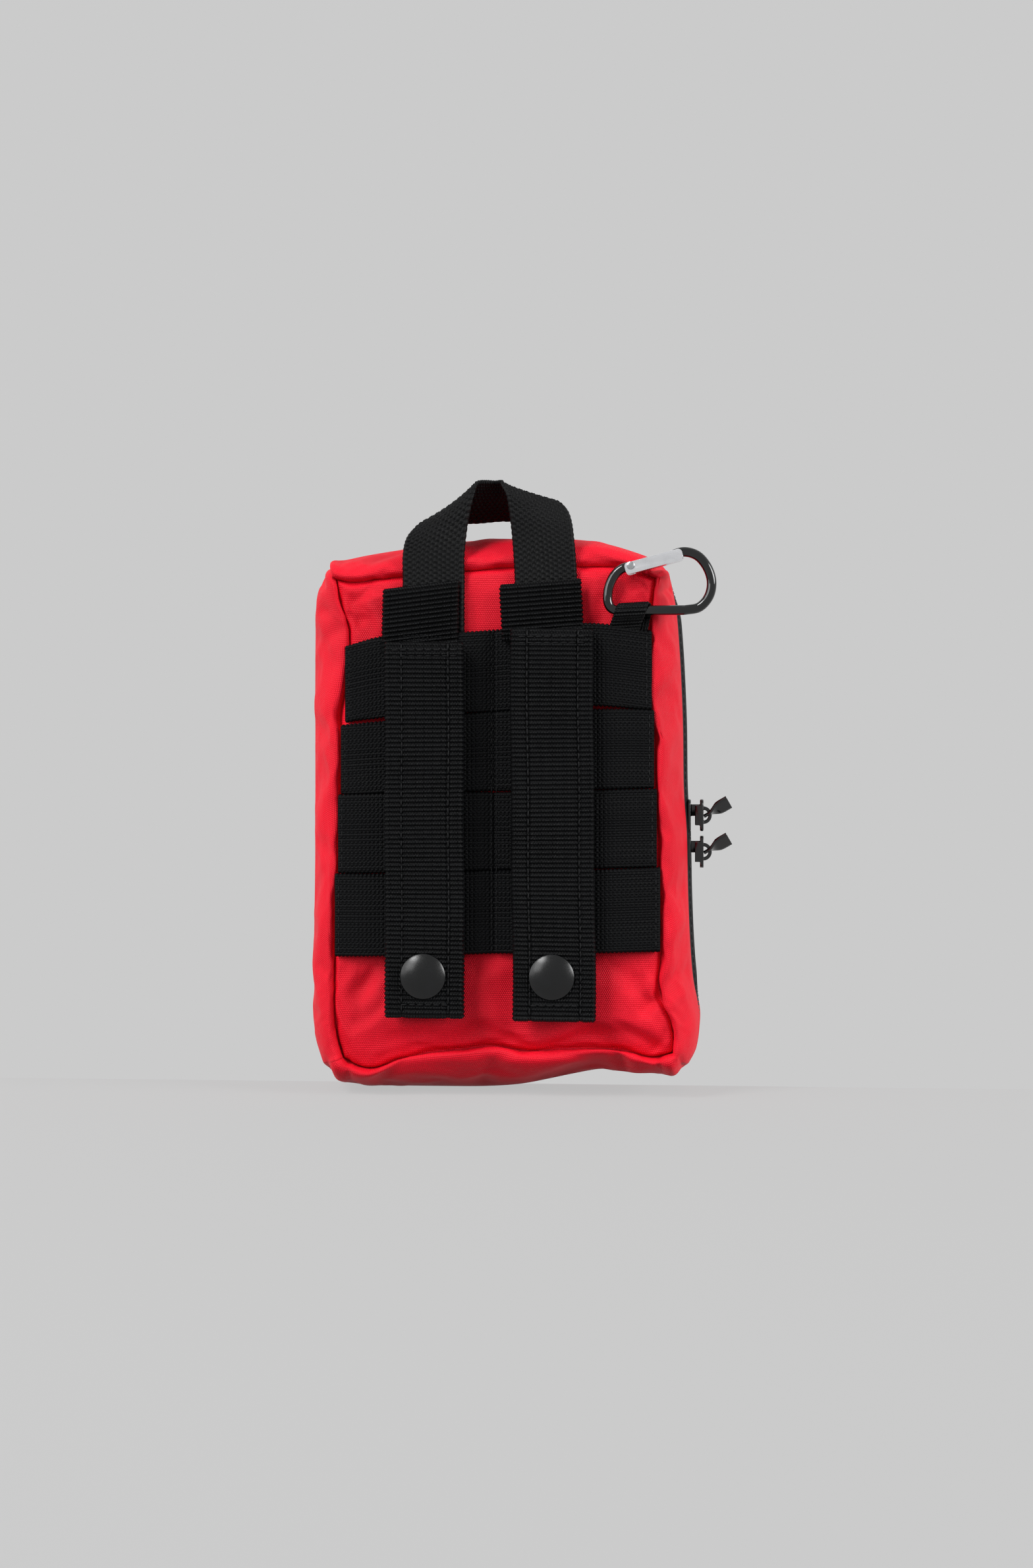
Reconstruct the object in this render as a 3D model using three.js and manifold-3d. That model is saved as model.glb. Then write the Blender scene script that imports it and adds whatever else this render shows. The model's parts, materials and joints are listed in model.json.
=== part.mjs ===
// First aid pouch: a red fabric clamshell with its zip, belt webbing, snap straps, grab handle, clip and supplies.
// Millimetres, +Z up. The webbing side faces -Y, the cover faces +Y, and the flat base lies at z = 0.
import * as THREE from "three";
import { mergeVertices } from "three/addons/utils/BufferGeometryUtils.js";
import Module from "manifold-3d";

// Clearance between pieces that touch
const gap = 0.3;

// Pouch: the sizes at mid-depth, and how far each side draws in at the two flat panels
const pouchWidth = 130;
const pouchHeight = 186;
const pouchDepth = 65;
const sideBulge = 12;
const topBulge = 12;
const baseBulge = 9;
const bulgePower = 3.6;
const rightBulgePower = 1.7;
const backSeamRise = 3;
const baseFlatDepth = 37;
const cornerRadius = 13;
const panelCornerRadius = 9;
const basePower = 1.5;
const cornerSteps = 4;
const cornerDroop = 7;
const cornerLift = 6;
const wall = 1.6;

// Zip round both sides and the top
const zipBottom = 14;
const bandHalf = 9;
const tapeInset = 0.9;
const tapeThick = 0.8;
const chainSlot = 1.4;
const coilWidth = 1.6;
const coilThick = 1.4;

// Zip sliders and their pulls, on the right side
const sliderLength = 10.8;
const sliderWidth = 8;
const plateThick = 1.2;
const sliderMiddle = 86.3;
const sliderSpacing = 12.4;
const postThick = 0.8;
const postLength = 4;
const crownLength = 6;
const crownWidth = 2.4;
const crownBar = 1.2;
const pullPin = 1;
const pullLength = 10;
const pullWidth = 5;
const pullThick = 1.2;
const pullWindow = 3.6;
const pullSlotLength = 3.4;
const pullSlotWidth = 1.8;
const pullRise = 30;

// Belt webbing rows on the back panel
const rowCount = 4;
const rowWidth = 25.4;
const rowPitch = 26.2;
const rowsTop = 150;
const rowThick = 1.1;
const rowBulge = 3;
const centreSeamX = -1;

// Snap straps over the rows
const strapWidth = 25.4;
const strapLayer = 1.1;
const stiffenerThick = 0.6;
const stiffenerMargin = 2.5;
const leftStrapX = -23.7;
const rightStrapX = 18.4;
const leftStrapTop = 151.5;
const rightStrapTop = 153;
const strapBottom = 26;

// Anchors that carry the straps and cover the handle's ends
const anchorThick = 1.1;
const anchorTuck = 12;
const foldSteps = 6;
const anchorTopLeft = 167.4;
const anchorTopRight = 168.8;
const leftAnchorX = -25.5;
const rightAnchorX = 14.3;

// Snap fasteners
const snapHeight = 40.4;
const capDiameter = 15;
const capRise = 2.2;
const shankDiameter = 3.2;
const socketDiameter = 10.4;
const studBall = 4.8;
const studFlange = 9;
const studFlangeThick = 0.8;
const studShank = 2.6;
const socketWeb = 0.9;
const washerDiameter = 8;
const washerThick = 0.8;

// Grab handle
const handleWidth = 20;
const handleThick = 1.3;
const leftLegX = -21;
const rightLegX = 16;
const handleHingeRise = 1.8;
const handleRise = 26.7;
const handleLean = 12.2;

// Clip and its loop, right of the handle
const loopX = 44.5;
const loopWidth = 10;
const loopThick = 0.7;
const loopWrapDegrees = 215;
const barHeight = 159.6;
const rodRadius = 1.6;
const rodSides = 8;
const eyeRadius = 1.8;
const rivetRadius = 0.7;
const rivetHeadRadius = 1.3;
const rivetHeadThick = 0.4;
const gateWall = 0.6;
const gateWeb = 0.5;
const gateRise = 1.2;
const gateLength = 17.2;
const gateHeel = 2;
const springThick = 0.5;

// Stiffening and lining
const boardInset = 6;
const boardThick = 1.2;
const liningInset = 3.5;
const liningThick = 0.8;

// Elastic bands and what they hold
const bandHeight = 25;
const bandThick = 0.9;
const upperBandZ = 128;
const lowerBandZ = 52;
const bandInset = 1;
const rollDiameter = 18;
const rollLength = 62;
const rollSpacing = 24;
const rollCount = 3;
const firstRollX = -36;
const tweezersX = 36;
const tweezersLength = 80;
const tweezersWidth = 9;
const tweezersThick = 3;
const tapeRollX = 25;
const tapeRollDiameter = 42;
const tapeRollBore = 19;
const tapeRollWidth = 12.5;
const glovesX = -24;
const glovesWidth = 42;
const glovesHeight = 64;
const glovesThick = 12;

// Net pocket inside the cover and what it holds
const pocketInset = 0.5;
const pocketDepth = 13;
const pocketLow = 12;
const pocketHigh = 112;
const netThick = 0.8;
const bindingWidth = 8;
const bindingThick = 0.9;
const blanketWidth = 78;
const blanketHeight = 52;
const blanketThick = 9;
const padsWidth = 40;
const padsHeight = 40;
const padsThick = 5;
const plastersWidth = 40;
const plastersHeight = 30;
const plastersThick = 4;
const packetGap = 3;
const pocketCorner = 5;

const wasm = await Module();
wasm.setup();

const vector = (x, y, z) => new THREE.Vector3(x, y, z);
const radians = THREE.MathUtils.degToRad;

const halfDepth = pouchDepth / 2;
const panelY = -halfDepth;
const tapeFace = pouchWidth / 2 - tapeInset;
const coilFace = tapeFace + gap + coilThick;
const panelWidth = pouchWidth - 2 * sideBulge;
const panelHeight = pouchHeight - topBulge - baseBulge;
const panelMiddle = baseBulge + panelHeight / 2;

// Turns a surface so that its faces point out.
function outward(geometry) {
  const position = geometry.getAttribute("position");
  const index = Array.from(geometry.index.array);
  const corner = (i) => vector(0, 0, 0).fromBufferAttribute(position, index[i]);
  let volume = 0;
  for (let i = 0; i < index.length; i += 3) {
    volume += corner(i).dot(corner(i + 1).cross(corner(i + 2)));
  }
  if (volume < 0) index.reverse();
  geometry.setIndex(index);
  return geometry;
}

// A closed surface through rings that have the same number of points, with a flat cap on each end.
function loft(rings) {
  const count = rings[0].length;
  const last = (rings.length - 1) * count;
  const index = [];
  for (let start = 0; start < last; start += count) {
    for (let k = 0; k < count; k++) {
      const next = (k + 1) % count;
      index.push(start + k, start + next, start + count + next);
      index.push(start + k, start + count + next, start + count + k);
    }
  }
  for (let k = 1; k < count - 1; k++) {
    index.push(0, k + 1, k);
    index.push(last, last + k, last + k + 1);
  }
  const geometry = new THREE.BufferGeometry().setFromPoints(rings.flat());
  geometry.setIndex(index);
  return outward(geometry);
}

// Frames along a path: the direction along it, the side vector made square to it, and the normal.
function frames(points, sides) {
  return points.map((point, i) => {
    const before = points[Math.max(i - 1, 0)];
    const after = points[Math.min(i + 1, points.length - 1)];
    const along = after.clone().sub(before).normalize();
    const side = (Array.isArray(sides) ? sides[i] : sides).clone();
    side.addScaledVector(along, -side.dot(along)).normalize();
    return { point, side, normal: along.clone().cross(side) };
  });
}

// A flat strip of webbing, tape or fabric along a path, its width along the side vectors.
function strip(points, sides, width, thick) {
  const corners = [[-1, -1], [1, -1], [1, 1], [-1, 1]];
  const rings = frames(points, sides).map(({ point, side, normal }) =>
    corners.map(([a, b]) =>
      point.clone().addScaledVector(side, (a * width) / 2).addScaledVector(normal, (b * thick) / 2)));
  return loft(rings);
}

// A round bar along a path.
function rod(points, side, radius, sides) {
  const rings = frames(points, side).map(({ point, side: across, normal }) =>
    Array.from({ length: sides }, (_, k) => {
      const angle = ((k + 0.5) / sides) * 2 * Math.PI;
      return point.clone()
        .addScaledVector(across, Math.cos(angle) * radius)
        .addScaledVector(normal, Math.sin(angle) * radius);
    }));
  return loft(rings);
}

// Points on an arc in the YZ plane at one x, from one angle to another, 0 along +Y and 90 along +Z.
function arcYZ(x, y, z, radius, from, to, steps) {
  return Array.from({ length: steps + 1 }, (_, i) => {
    const angle = radians(from + ((to - from) * i) / steps);
    return vector(x, y + Math.cos(angle) * radius, z + Math.sin(angle) * radius);
  });
}

// A box by its size and middle.
function block(width, depth, height, x, y, z) {
  return new THREE.BoxGeometry(width, depth, height).translate(x, y, z);
}

// A turned piece whose axis lies along Y. Profile points are [radius, y], from the -Y end to the +Y end.
function turned(profile, segments) {
  const points = profile.map(([radius, along]) => new THREE.Vector2(radius, along));
  return new THREE.LatheGeometry(points, segments);
}

function solid(geometry) {
  const bare = geometry.index ? geometry.toNonIndexed() : geometry.clone();
  bare.deleteAttribute("normal");
  bare.deleteAttribute("uv");
  const merged = mergeVertices(bare, 1e-4);
  return new wasm.Manifold(new wasm.Mesh({
    numProp: 3,
    vertProperties: merged.getAttribute("position").array,
    triVerts: new Uint32Array(merged.index.array),
  }));
}

function surface(body) {
  const mesh = body.getMesh();
  const geometry = new THREE.BufferGeometry();
  geometry.setAttribute("position", new THREE.BufferAttribute(mesh.vertProperties, 3));
  geometry.setIndex(new THREE.BufferAttribute(mesh.triVerts, 1));
  return geometry;
}

// The base geometry with the cutters taken away.
function cut(base, ...cutters) {
  return surface(cutters.reduce((body, cutter) => body.subtract(solid(cutter)), solid(base)));
}

function join(first, ...others) {
  return surface(others.reduce((body, other) => body.add(solid(other)), solid(first)));
}

// Finishes, by colour, roughness and how metallic they are
const redFabric = { color: 0xd8202c, roughness: 0.55, metalness: 0 };
const blackWebbing = { color: 0x121316, roughness: 0.85, metalness: 0 };
const blackTape = { color: 0x101113, roughness: 0.8, metalness: 0 };
const blackCoil = { color: 0x15161a, roughness: 0.5, metalness: 0 };
const blackPaint = { color: 0x17191c, roughness: 0.35, metalness: 0.4 };
const blackGloss = { color: 0x08090b, roughness: 0.2, metalness: 0.5 };
const bareAluminium = { color: 0xc9ccd0, roughness: 0.3, metalness: 1 };
const brightSteel = { color: 0xb4b8bc, roughness: 0.25, metalness: 1 };
const boardPlastic = { color: 0xd9dade, roughness: 0.6, metalness: 0 };
const liningFabric = { color: 0xb01820, roughness: 0.7, metalness: 0 };
const whiteCotton = { color: 0xf0eee8, roughness: 0.95, metalness: 0 };
const packetFilm = { color: 0xdfe3e8, roughness: 0.3, metalness: 0.3 };
const packetPaper = { color: 0xe9ece6, roughness: 0.8, metalness: 0 };

const group = new THREE.Group();

// Adds a named piece to its parent group and returns it.
function piece(name, geometry, finish, parent = group) {
  const mesh = new THREE.Mesh(geometry, new THREE.MeshStandardMaterial(finish));
  mesh.name = name;
  parent.add(mesh);
  return mesh;
}

// How far soft cloth hangs at the top corners, and is pulled up at the low right one, by the rim.
function sag(point) {
  const { smoothstep } = THREE.MathUtils;
  const half = pouchWidth / 2;
  const hung = smoothstep(Math.abs(point.x), 0.15 * half, 0.95 * half) * smoothstep(point.z, 0.65 * pouchHeight, pouchHeight);
  const pulled = smoothstep(point.x, 0.22 * half, 0.65 * half) * (1 - smoothstep(point.z, 0, 0.25 * pouchHeight));
  return cornerLift * pulled - cornerDroop * hung;
}

// Places along a straight side of the pouch, between two corners, where it may bend.
const sideShares = [0.17, 0.32, 0.45, 0.58, 0.72, 0.86];

function between(from, to) {
  return sideShares.map((share) => from.clone().lerp(to, share));
}

// Outline of the pouch at one depth, as a ring, drawn in by an inset.
function outline(y, inset) {
  const reach = Math.abs(y) / halfDepth;
  const drawn = reach ** bulgePower;
  const flat = baseFlatDepth / 2;
  const lifted = Math.max(0, (Math.abs(y) - flat) / (halfDepth - flat)) ** basePower;
  const radius = THREE.MathUtils.lerp(cornerRadius, panelCornerRadius, reach) - inset;
  const side = pouchWidth / 2 - sideBulge * drawn - inset - radius;
  const right = pouchWidth / 2 - sideBulge * reach ** rightBulgePower - inset - radius;
  const high = pouchHeight - topBulge * drawn - inset - radius;
  const low = (baseBulge + (y < 0 ? backSeamRise : 0)) * lifted + inset + radius;
  const depth = y * (1 - (inset / halfDepth) * reach ** 2);
  const middles = [[right, high], [-side, high], [-side, low], [right, low]];
  const corners = middles.map(([x, z], quarter) =>
    Array.from({ length: cornerSteps + 1 }, (_, k) => {
      const angle = radians(90 * (quarter + k / cornerSteps));
      return vector(x + Math.cos(angle) * radius, depth, z + Math.sin(angle) * radius);
    }));
  const [topRight, topLeft, lowLeft, lowRight] = corners;
  const top = between(topRight.at(-1), topLeft[0]);
  const base = between(lowRight[0], lowLeft.at(-1)).reverse();
  const loose = 1 - reach ** 2;
  return [...topRight, ...top, ...topLeft, ...lowLeft, ...base, ...lowRight].map((point) =>
    point.setZ(point.z + loose * sag(point)));
}

// Half of the pouch as an open tray: up the outside from the panel to the rim, and back down the inside.
function tray(depths) {
  const inside = depths.slice().reverse();
  return loft([...depths.map((y) => outline(y, 0)), ...inside.map((y) => outline(y, wall))]);
}

const gussetDepths = [1, 0.93, 0.8, 0.62, 0.42].map((share) => share * halfDepth);

function backShell() {
  const depths = [...gussetDepths.map((y) => -y), -bandHalf, bandHalf - gap];
  const low = zipBottom - gap;
  const zipBand = block(2 * pouchWidth, 3 * bandHalf, pouchHeight, 0, bandHalf / 2, low + pouchHeight / 2);
  const holes = [leftStrapX, rightStrapX].map((x) => bore(studShank / 2 + gap, x, panelY, snapHeight));
  piece("back_shell", cut(tray(depths), zipBand, ...holes), redFabric);
}

function frontShell() {
  piece("front_shell", tray([...gussetDepths, bandHalf]), redFabric);
}

// A cylinder along Y for a round hole through flat pieces.
function bore(radius, x, y, z) {
  return new THREE.CylinderGeometry(radius, radius, 8 * wall, 12).translate(x, y, z);
}

// The zip's path up the left side, over the top and down the right, at one distance out from the middle.
function zipPath(face, y) {
  const radius = cornerRadius - (pouchWidth / 2 - face);
  const high = pouchHeight - (pouchWidth / 2 - face) - radius;
  const steps = 6;
  const points = [vector(-face, y, zipBottom)];
  for (let k = 0; k <= steps; k++) {
    const angle = radians(180 - (90 * k) / steps);
    points.push(vector(-(face - radius) + Math.cos(angle) * radius, y, high + Math.sin(angle) * radius));
  }
  points.push(...between(vector(face - radius, y, high + radius), vector(radius - face, y, high + radius)).reverse());
  for (let k = 0; k <= steps; k++) {
    const angle = radians(90 - (90 * k) / steps);
    points.push(vector(face - radius + Math.cos(angle) * radius, y, high + Math.sin(angle) * radius));
  }
  points.push(vector(face, y, zipBottom));
  const loose = 1 - (bandHalf / halfDepth) ** 2;
  return points.map((point) => (point.z > pouchHeight / 2 ? point.setZ(point.z + loose * sag(point)) : point));
}

function zip(side, sign) {
  const tapeWidth = bandHalf - gap - chainSlot / 2;
  const tapeY = sign * (chainSlot + tapeWidth) / 2;
  const coilY = sign * (chainSlot + coilWidth) / 2;
  const across = vector(0, 1, 0);
  const tape = strip(zipPath(tapeFace - tapeThick / 2, tapeY), across, tapeWidth, tapeThick);
  const coil = strip(zipPath(coilFace - coilThick / 2, coilY), across, coilWidth, coilThick);
  piece("zip_tape_" + side, tape, blackTape);
  piece("zip_coil_" + side, coil, blackCoil);
}

// A flat outline in the YZ plane, thickened along X.
function plateX(shape, thick, x) {
  const turn = new THREE.Matrix4().makeBasis(vector(0, 1, 0), vector(0, 0, 1), vector(1, 0, 0));
  return new THREE.ExtrudeGeometry(shape, { depth: thick, bevelEnabled: false, curveSegments: 3 })
    .applyMatrix4(turn)
    .translate(x, 0, 0);
}

// A flat outline in the XZ plane, thickened along Y about its middle.
function plateY(shape, thick, y) {
  return new THREE.ExtrudeGeometry(shape, { depth: thick, bevelEnabled: false, curveSegments: 4 })
    .translate(0, 0, -thick / 2)
    .rotateX(Math.PI / 2)
    .translate(0, y, 0);
}

// A rectangle with round corners as a shape, by its size and middle.
function roundedShape(width, height, radius, x = 0, z = 0) {
  const [left, right, low, high] = [x - width / 2, x + width / 2, z - height / 2, z + height / 2];
  const shape = new THREE.Shape();
  shape.moveTo(left + radius, low);
  shape.lineTo(right - radius, low);
  shape.absarc(right - radius, low + radius, radius, -Math.PI / 2, 0);
  shape.lineTo(right, high - radius);
  shape.absarc(right - radius, high - radius, radius, 0, Math.PI / 2);
  shape.lineTo(left + radius, high);
  shape.absarc(left + radius, high - radius, radius, Math.PI / 2, Math.PI);
  shape.lineTo(left, low + radius);
  shape.absarc(left + radius, low + radius, radius, Math.PI, 1.5 * Math.PI);
  return shape;
}

const plateFace = coilFace + gap + plateThick;
const crownHeight = pullPin + 2 * gap + crownBar;
const pullAxisX = plateFace + gap + pullPin / 2;

// A slider runs on both rows of coil: outer and inner plates, the post between them and the crown for the pull.
function slider() {
  const plate = roundedShape(sliderWidth, sliderLength, sliderWidth / 4);
  const innerX = tapeFace - tapeThick - gap - plateThick;
  const outer = plateX(plate, plateThick, coilFace + gap);
  const inner = plateX(plate, plateThick, innerX);
  const sunk = plateThick / 2;
  const postX = (innerX + coilFace + gap) / 2 + sunk;
  const post = block(coilFace + gap - innerX, postThick, postLength, postX, 0, (sliderLength - postLength) / 4);
  const flangeHeight = coilThick + gap + sunk;
  const flangeX = tapeFace + gap + flangeHeight / 2;
  const flangeY = -(sliderWidth - postThick) / 2;
  const flange = block(flangeHeight, postThick, sliderLength - sliderWidth / 2, flangeX, flangeY, 0);
  const arch = new THREE.Shape();
  arch.moveTo(-crownLength / 2, -sunk);
  arch.lineTo(-crownLength / 2, 0);
  arch.absellipse(0, 0, crownLength / 2, crownHeight, Math.PI, 0, true);
  arch.lineTo(crownLength / 2, -sunk);
  arch.lineTo(crownLength / 2 - crownBar, -sunk);
  arch.absellipse(0, 0, crownLength / 2 - crownBar, crownHeight - crownBar, 0, Math.PI, false);
  arch.lineTo(crownBar - crownLength / 2, -sunk);
  const turn = new THREE.Matrix4().makeBasis(vector(0, 0, 1), vector(1, 0, 0), vector(0, 1, 0));
  const crown = new THREE.ExtrudeGeometry(arch, { depth: crownWidth, bevelEnabled: false, curveSegments: 6 })
    .translate(0, 0, -crownWidth / 2)
    .applyMatrix4(turn)
    .translate(plateFace, 0, 0);
  return join(outer, inner, post, flange, crown);
}

// A pull swings on its pin under the crown: two arms beside the crown, and a plate with an oval slot.
function pull() {
  const plate = roundedShape(pullWidth, pullLength, pullThick / 2, 0, pullLength / 2);
  const bodyPlate = plateX(plate, pullThick, -pullThick / 2);
  const slotMiddle = (pullWindow + pullLength) / 2 + gap;
  const slot = roundedShape(pullSlotWidth, pullSlotLength, pullSlotWidth / 2 - 0.01, 0, slotMiddle);
  const window = block(3 * pullThick, crownWidth + 2 * gap, 2 * pullWindow, 0, 0, 0);
  const pin = new THREE.CylinderGeometry(pullPin / 2, pullPin / 2, pullWidth, 8);
  const slotCut = plateX(slot, 3 * pullThick, -1.5 * pullThick);
  return join(cut(bodyPlate, window, slotCut), pin).rotateY(Math.PI / 2);
}

// Each slider slides along the zip, and its pull swings on it.
function zipSliders() {
  for (const [name, sign] of [["upper", 1], ["lower", -1]]) {
    const carrier = new THREE.Group();
    carrier.position.z = sliderMiddle + (sign * sliderSpacing) / 2;
    group.add(carrier);
    piece("zip_slider_" + name, slider(), blackPaint, carrier);
    const hung = piece("zip_pull_" + name, pull(), blackPaint, carrier);
    hung.position.x = pullAxisX;
    hung.rotation.y = -radians(pullRise);
  }
}

// A belt webbing row: sewn flat at both edges and the middle seam, standing off between them.
function webbingRows() {
  const edge = pouchWidth / 2 - sideBulge - gap;
  const seams = [-edge, centreSeamX, edge];
  const sewnY = panelY - gap - rowThick / 2;
  const steps = 7;
  const points = [vector(seams[0], sewnY, 0)];
  for (let bay = 0; bay < 2; bay++) {
    for (let k = 1; k <= steps; k++) {
      const x = THREE.MathUtils.lerp(seams[bay], seams[bay + 1], k / steps);
      const lift = Math.sin((Math.PI * k) / steps) ** 0.6;
      points.push(vector(x, sewnY - rowBulge * lift, 0));
    }
  }
  for (let row = 0; row < rowCount; row++) {
    const webbing = strip(points, vector(0, 0, 1), rowWidth, rowThick);
    const mesh = piece("webbing_row_" + (row + 1), webbing, blackWebbing);
    mesh.position.z = rowsTop - rowWidth / 2 - row * rowPitch;
  }
}

// How far the webbing stacks stand off the panel
const anchorStack = 3 * gap + handleThick + 2 * anchorThick;
const rowStack = gap + rowThick + rowBulge;
const strapInner = panelY - Math.max(anchorStack, rowStack) - gap;
const strapStack = 2 * strapLayer + 2 * gap + stiffenerThick;
const strapOuter = strapInner - strapStack;
const strapMiddle = (strapInner + strapOuter) / 2;

// A strap is one webbing folded up at its free end round a plastic stiffener, with a hole for the snap.
function strap(name, x, top) {
  const foldRadius = (strapStack - strapLayer) / 2;
  const foldZ = strapBottom + foldRadius + strapLayer / 2;
  const points = [
    vector(x, strapMiddle - foldRadius, top),
    ...arcYZ(x, strapMiddle, foldZ, foldRadius, 180, 360, foldSteps),
    vector(x, strapMiddle + foldRadius, top),
  ];
  const hole = bore(shankDiameter / 2 + gap, x, strapMiddle, snapHeight);
  const webbing = strip(points, vector(1, 0, 0), strapWidth, strapLayer);
  piece("strap_" + name, cut(webbing, hole), blackWebbing);
  const low = strapBottom + strapStack;
  const height = top - stiffenerMargin - low;
  const width = strapWidth - 2 * stiffenerMargin;
  const sheet = block(width, stiffenerThick, height, x, strapMiddle, low + height / 2);
  piece("strap_stiffener_" + name, cut(sheet, hole), boardPlastic);
}

// An anchor is sewn over the handle's end, its top edge folded back down.
function anchor(name, x, top) {
  const outerY = panelY - anchorStack + anchorThick / 2;
  const radius = (anchorThick + gap) / 2;
  const foldZ = top - radius - anchorThick / 2;
  const points = [
    vector(x, outerY, rowsTop + gap),
    ...arcYZ(x, outerY + radius, foldZ, radius, 180, 0, foldSteps),
    vector(x, outerY + 2 * radius, top - anchorTuck),
  ];
  piece("strap_anchor_" + name, strip(points, vector(1, 0, 0), strapWidth, anchorThick), blackWebbing);
}

// Depths of the snap's parts, from the strap in to the board behind the panel
const capSeat = strapOuter - gap;
const socketSeat = strapInner + gap;
const recessFloor = socketSeat + socketWeb;
const flangeFace = panelY - gap - studFlangeThick;
const boardY = panelY + wall + gap + boardThick / 2;
const washerSeat = boardY + boardThick / 2 + gap;
const liningY = washerSeat + washerThick + gap + liningThick / 2;

// A snap fastener: cap with its shank through the strap, socket behind it, and the stud with its washer.
function snap(name, x) {
  const place = (mesh) => mesh.position.set(x, 0, snapHeight);
  const cap = capDiameter / 2;
  const shank = shankDiameter / 2;
  const socket = socketDiameter / 2;
  const ball = studBall / 2;
  const flange = studFlange / 2;
  const pin = studShank / 2;
  const ballEnd = recessFloor + gap;
  const recess = ball + gap;
  const washer = washerDiameter / 2;
  place(piece("snap_cap_" + name, turned([
    [0, capSeat - capRise], [0.45 * cap, capSeat - 0.94 * capRise], [0.78 * cap, capSeat - 0.72 * capRise],
    [0.95 * cap, capSeat - 0.36 * capRise], [cap, capSeat], [shank, capSeat], [shank, recessFloor],
    [0, recessFloor],
  ], 24), blackPaint));
  place(piece("snap_socket_" + name, turned([
    [shank + gap, socketSeat], [socket, socketSeat], [socket, recessFloor], [recess + socketWeb, flangeFace - gap],
    [recess, flangeFace - gap], [recess, recessFloor], [shank + gap, recessFloor], [shank + gap, socketSeat],
  ], 20), brightSteel));
  place(piece("snap_stud_" + name, turned([
    [0, ballEnd], [0.7 * ball, ballEnd], [ball, ballEnd + 0.3 * ball], [0.8 * ball, ballEnd + 0.7 * ball],
    [0.8 * ball, flangeFace], [flange, flangeFace], [flange, panelY - gap], [pin, panelY - gap],
    [pin, washerSeat + washerThick], [0, washerSeat + washerThick],
  ], 20), brightSteel));
  place(piece("stud_washer_" + name, turned([
    [pin + gap, washerSeat], [washer, washerSeat], [washer, washerSeat + washerThick],
    [pin + gap, washerSeat + washerThick], [pin + gap, washerSeat],
  ], 20), brightSteel));
}

const legY = panelY - gap - handleThick / 2;
const handleHingeZ = Math.max(anchorTopLeft, anchorTopRight) + handleHingeRise;

// The grab handle: both ends sewn under the anchors, the loop rolled backward over the top of the pouch.
// Each station holds its place between the legs from -1 to 1, its shares of the loop's lean and rise, and
// the direction from the webbing's middle to its leading edge.
const handleStations = [
  [-1, 0, 0, [1, 0, 0]],
  [-1, 0, 0.3, [1, 0, 0]],
  [-0.95, 0.02, 0.56, [0.98, -0.02, 0.2]],
  [-0.81, 0.15, 0.76, [0.87, -0.25, 0.42]],
  [-0.57, 0.43, 0.89, [0.62, -0.5, 0.6]],
  [-0.24, 0.78, 0.97, [0.3, -0.72, 0.62]],
  [0.08, 1, 1, [0, -0.82, 0.57]],
  [0.41, 0.84, 0.99, [-0.3, -0.72, 0.6]],
  [0.65, 0.43, 0.96, [-0.7, -0.5, 0.5]],
  [0.83, 0.11, 0.82, [-0.93, -0.12, 0.33]],
  [0.93, 0, 0.5, [-0.99, 0, 0.08]],
  [1, 0, 0, [-1, 0, 0]],
];

function carryHandle() {
  const middle = (leftLegX + rightLegX) / 2;
  const half = (rightLegX - leftLegX) / 2;
  const places = handleStations.map(([share, lean, rise]) =>
    vector(middle + share * half, legY + lean * handleLean, handleHingeZ + rise * handleRise));
  const path = new THREE.CatmullRomCurve3(places, false, "centripetal");
  const leading = new THREE.CatmullRomCurve3(handleStations.map(([, , , edge]) => vector(...edge)));
  const steps = 3 * (handleStations.length - 1);
  const points = [];
  const sides = [];
  for (let i = 0; i <= steps; i++) {
    points.push(path.getPoint(i / steps));
    sides.push(leading.getPoint(i / steps));
  }
  piece("carry_handle", strip(points, sides, handleWidth, handleThick), blackWebbing);
  for (const [name, x] of [["left", leftLegX], ["right", rightLegX]]) {
    const low = rowsTop + gap;
    const height = handleHingeZ - handleThick / 2 - gap - low;
    const tail = block(handleWidth, handleThick, height, x, legY, low + height / 2);
    piece("handle_end_" + name, tail, blackWebbing);
  }
}

// The gate's channel, its rivet, and the depth of the clip's bar, clear of the panel behind both
const channelInner = 2 * (rodRadius + gap);
const channelOuter = channelInner + 2 * gateWall;
const rivetSeat = channelOuter / 2 + gap;
const rivetEnd = rivetSeat + rivetHeadThick;
const barY = panelY - gap - Math.max(rivetEnd, loopThick + gap + rodRadius);

// The clip's loop: narrow tape up from the panel, round the bar and back down to its own foot.
function clipLoop() {
  const radius = rodRadius + gap + loopThick / 2;
  const footY = panelY - gap - loopThick / 2;
  const base = rowsTop + gap;
  const wrap = arcYZ(loopX, barY, barHeight, radius, 0, loopWrapDegrees, 3 * foldSteps);
  const frontY = footY - loopThick - gap;
  const points = [
    vector(loopX, footY, base),
    ...wrap,
    vector(loopX, frontY, base + 2 * loopThick),
    vector(loopX, frontY, base),
  ];
  piece("clip_loop", strip(points, vector(1, 0, 0), loopWidth, loopThick), blackWebbing);
}

// Outline of the clip's rod from its nose round the wide end, along the bar and up to the gate's pin.
// Places are [along, up] from the bar's point in the middle of the loop.
const wideEnd = [
  [12.6, 17.9], [16.5, 18.9], [20.2, 17.8], [22.9, 14.3], [24.2, 9.6], [23.3, 4.6], [20.2, 1], [16.2, 0],
];
const narrowEnd = [
  [-5.3, 0], [-6.9, 0.7], [-7.9, 2.4], [-8.1, 4.8], [-7.6, 8], [-5.8, 11.6], [-3.4, 13.6], [-0.6, 14.4],
];
const gatePin = narrowEnd[narrowEnd.length - 1];
const noseTurn = Math.atan2(wideEnd[0][1] - gatePin[1], wideEnd[0][0] - gatePin[0]);

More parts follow.
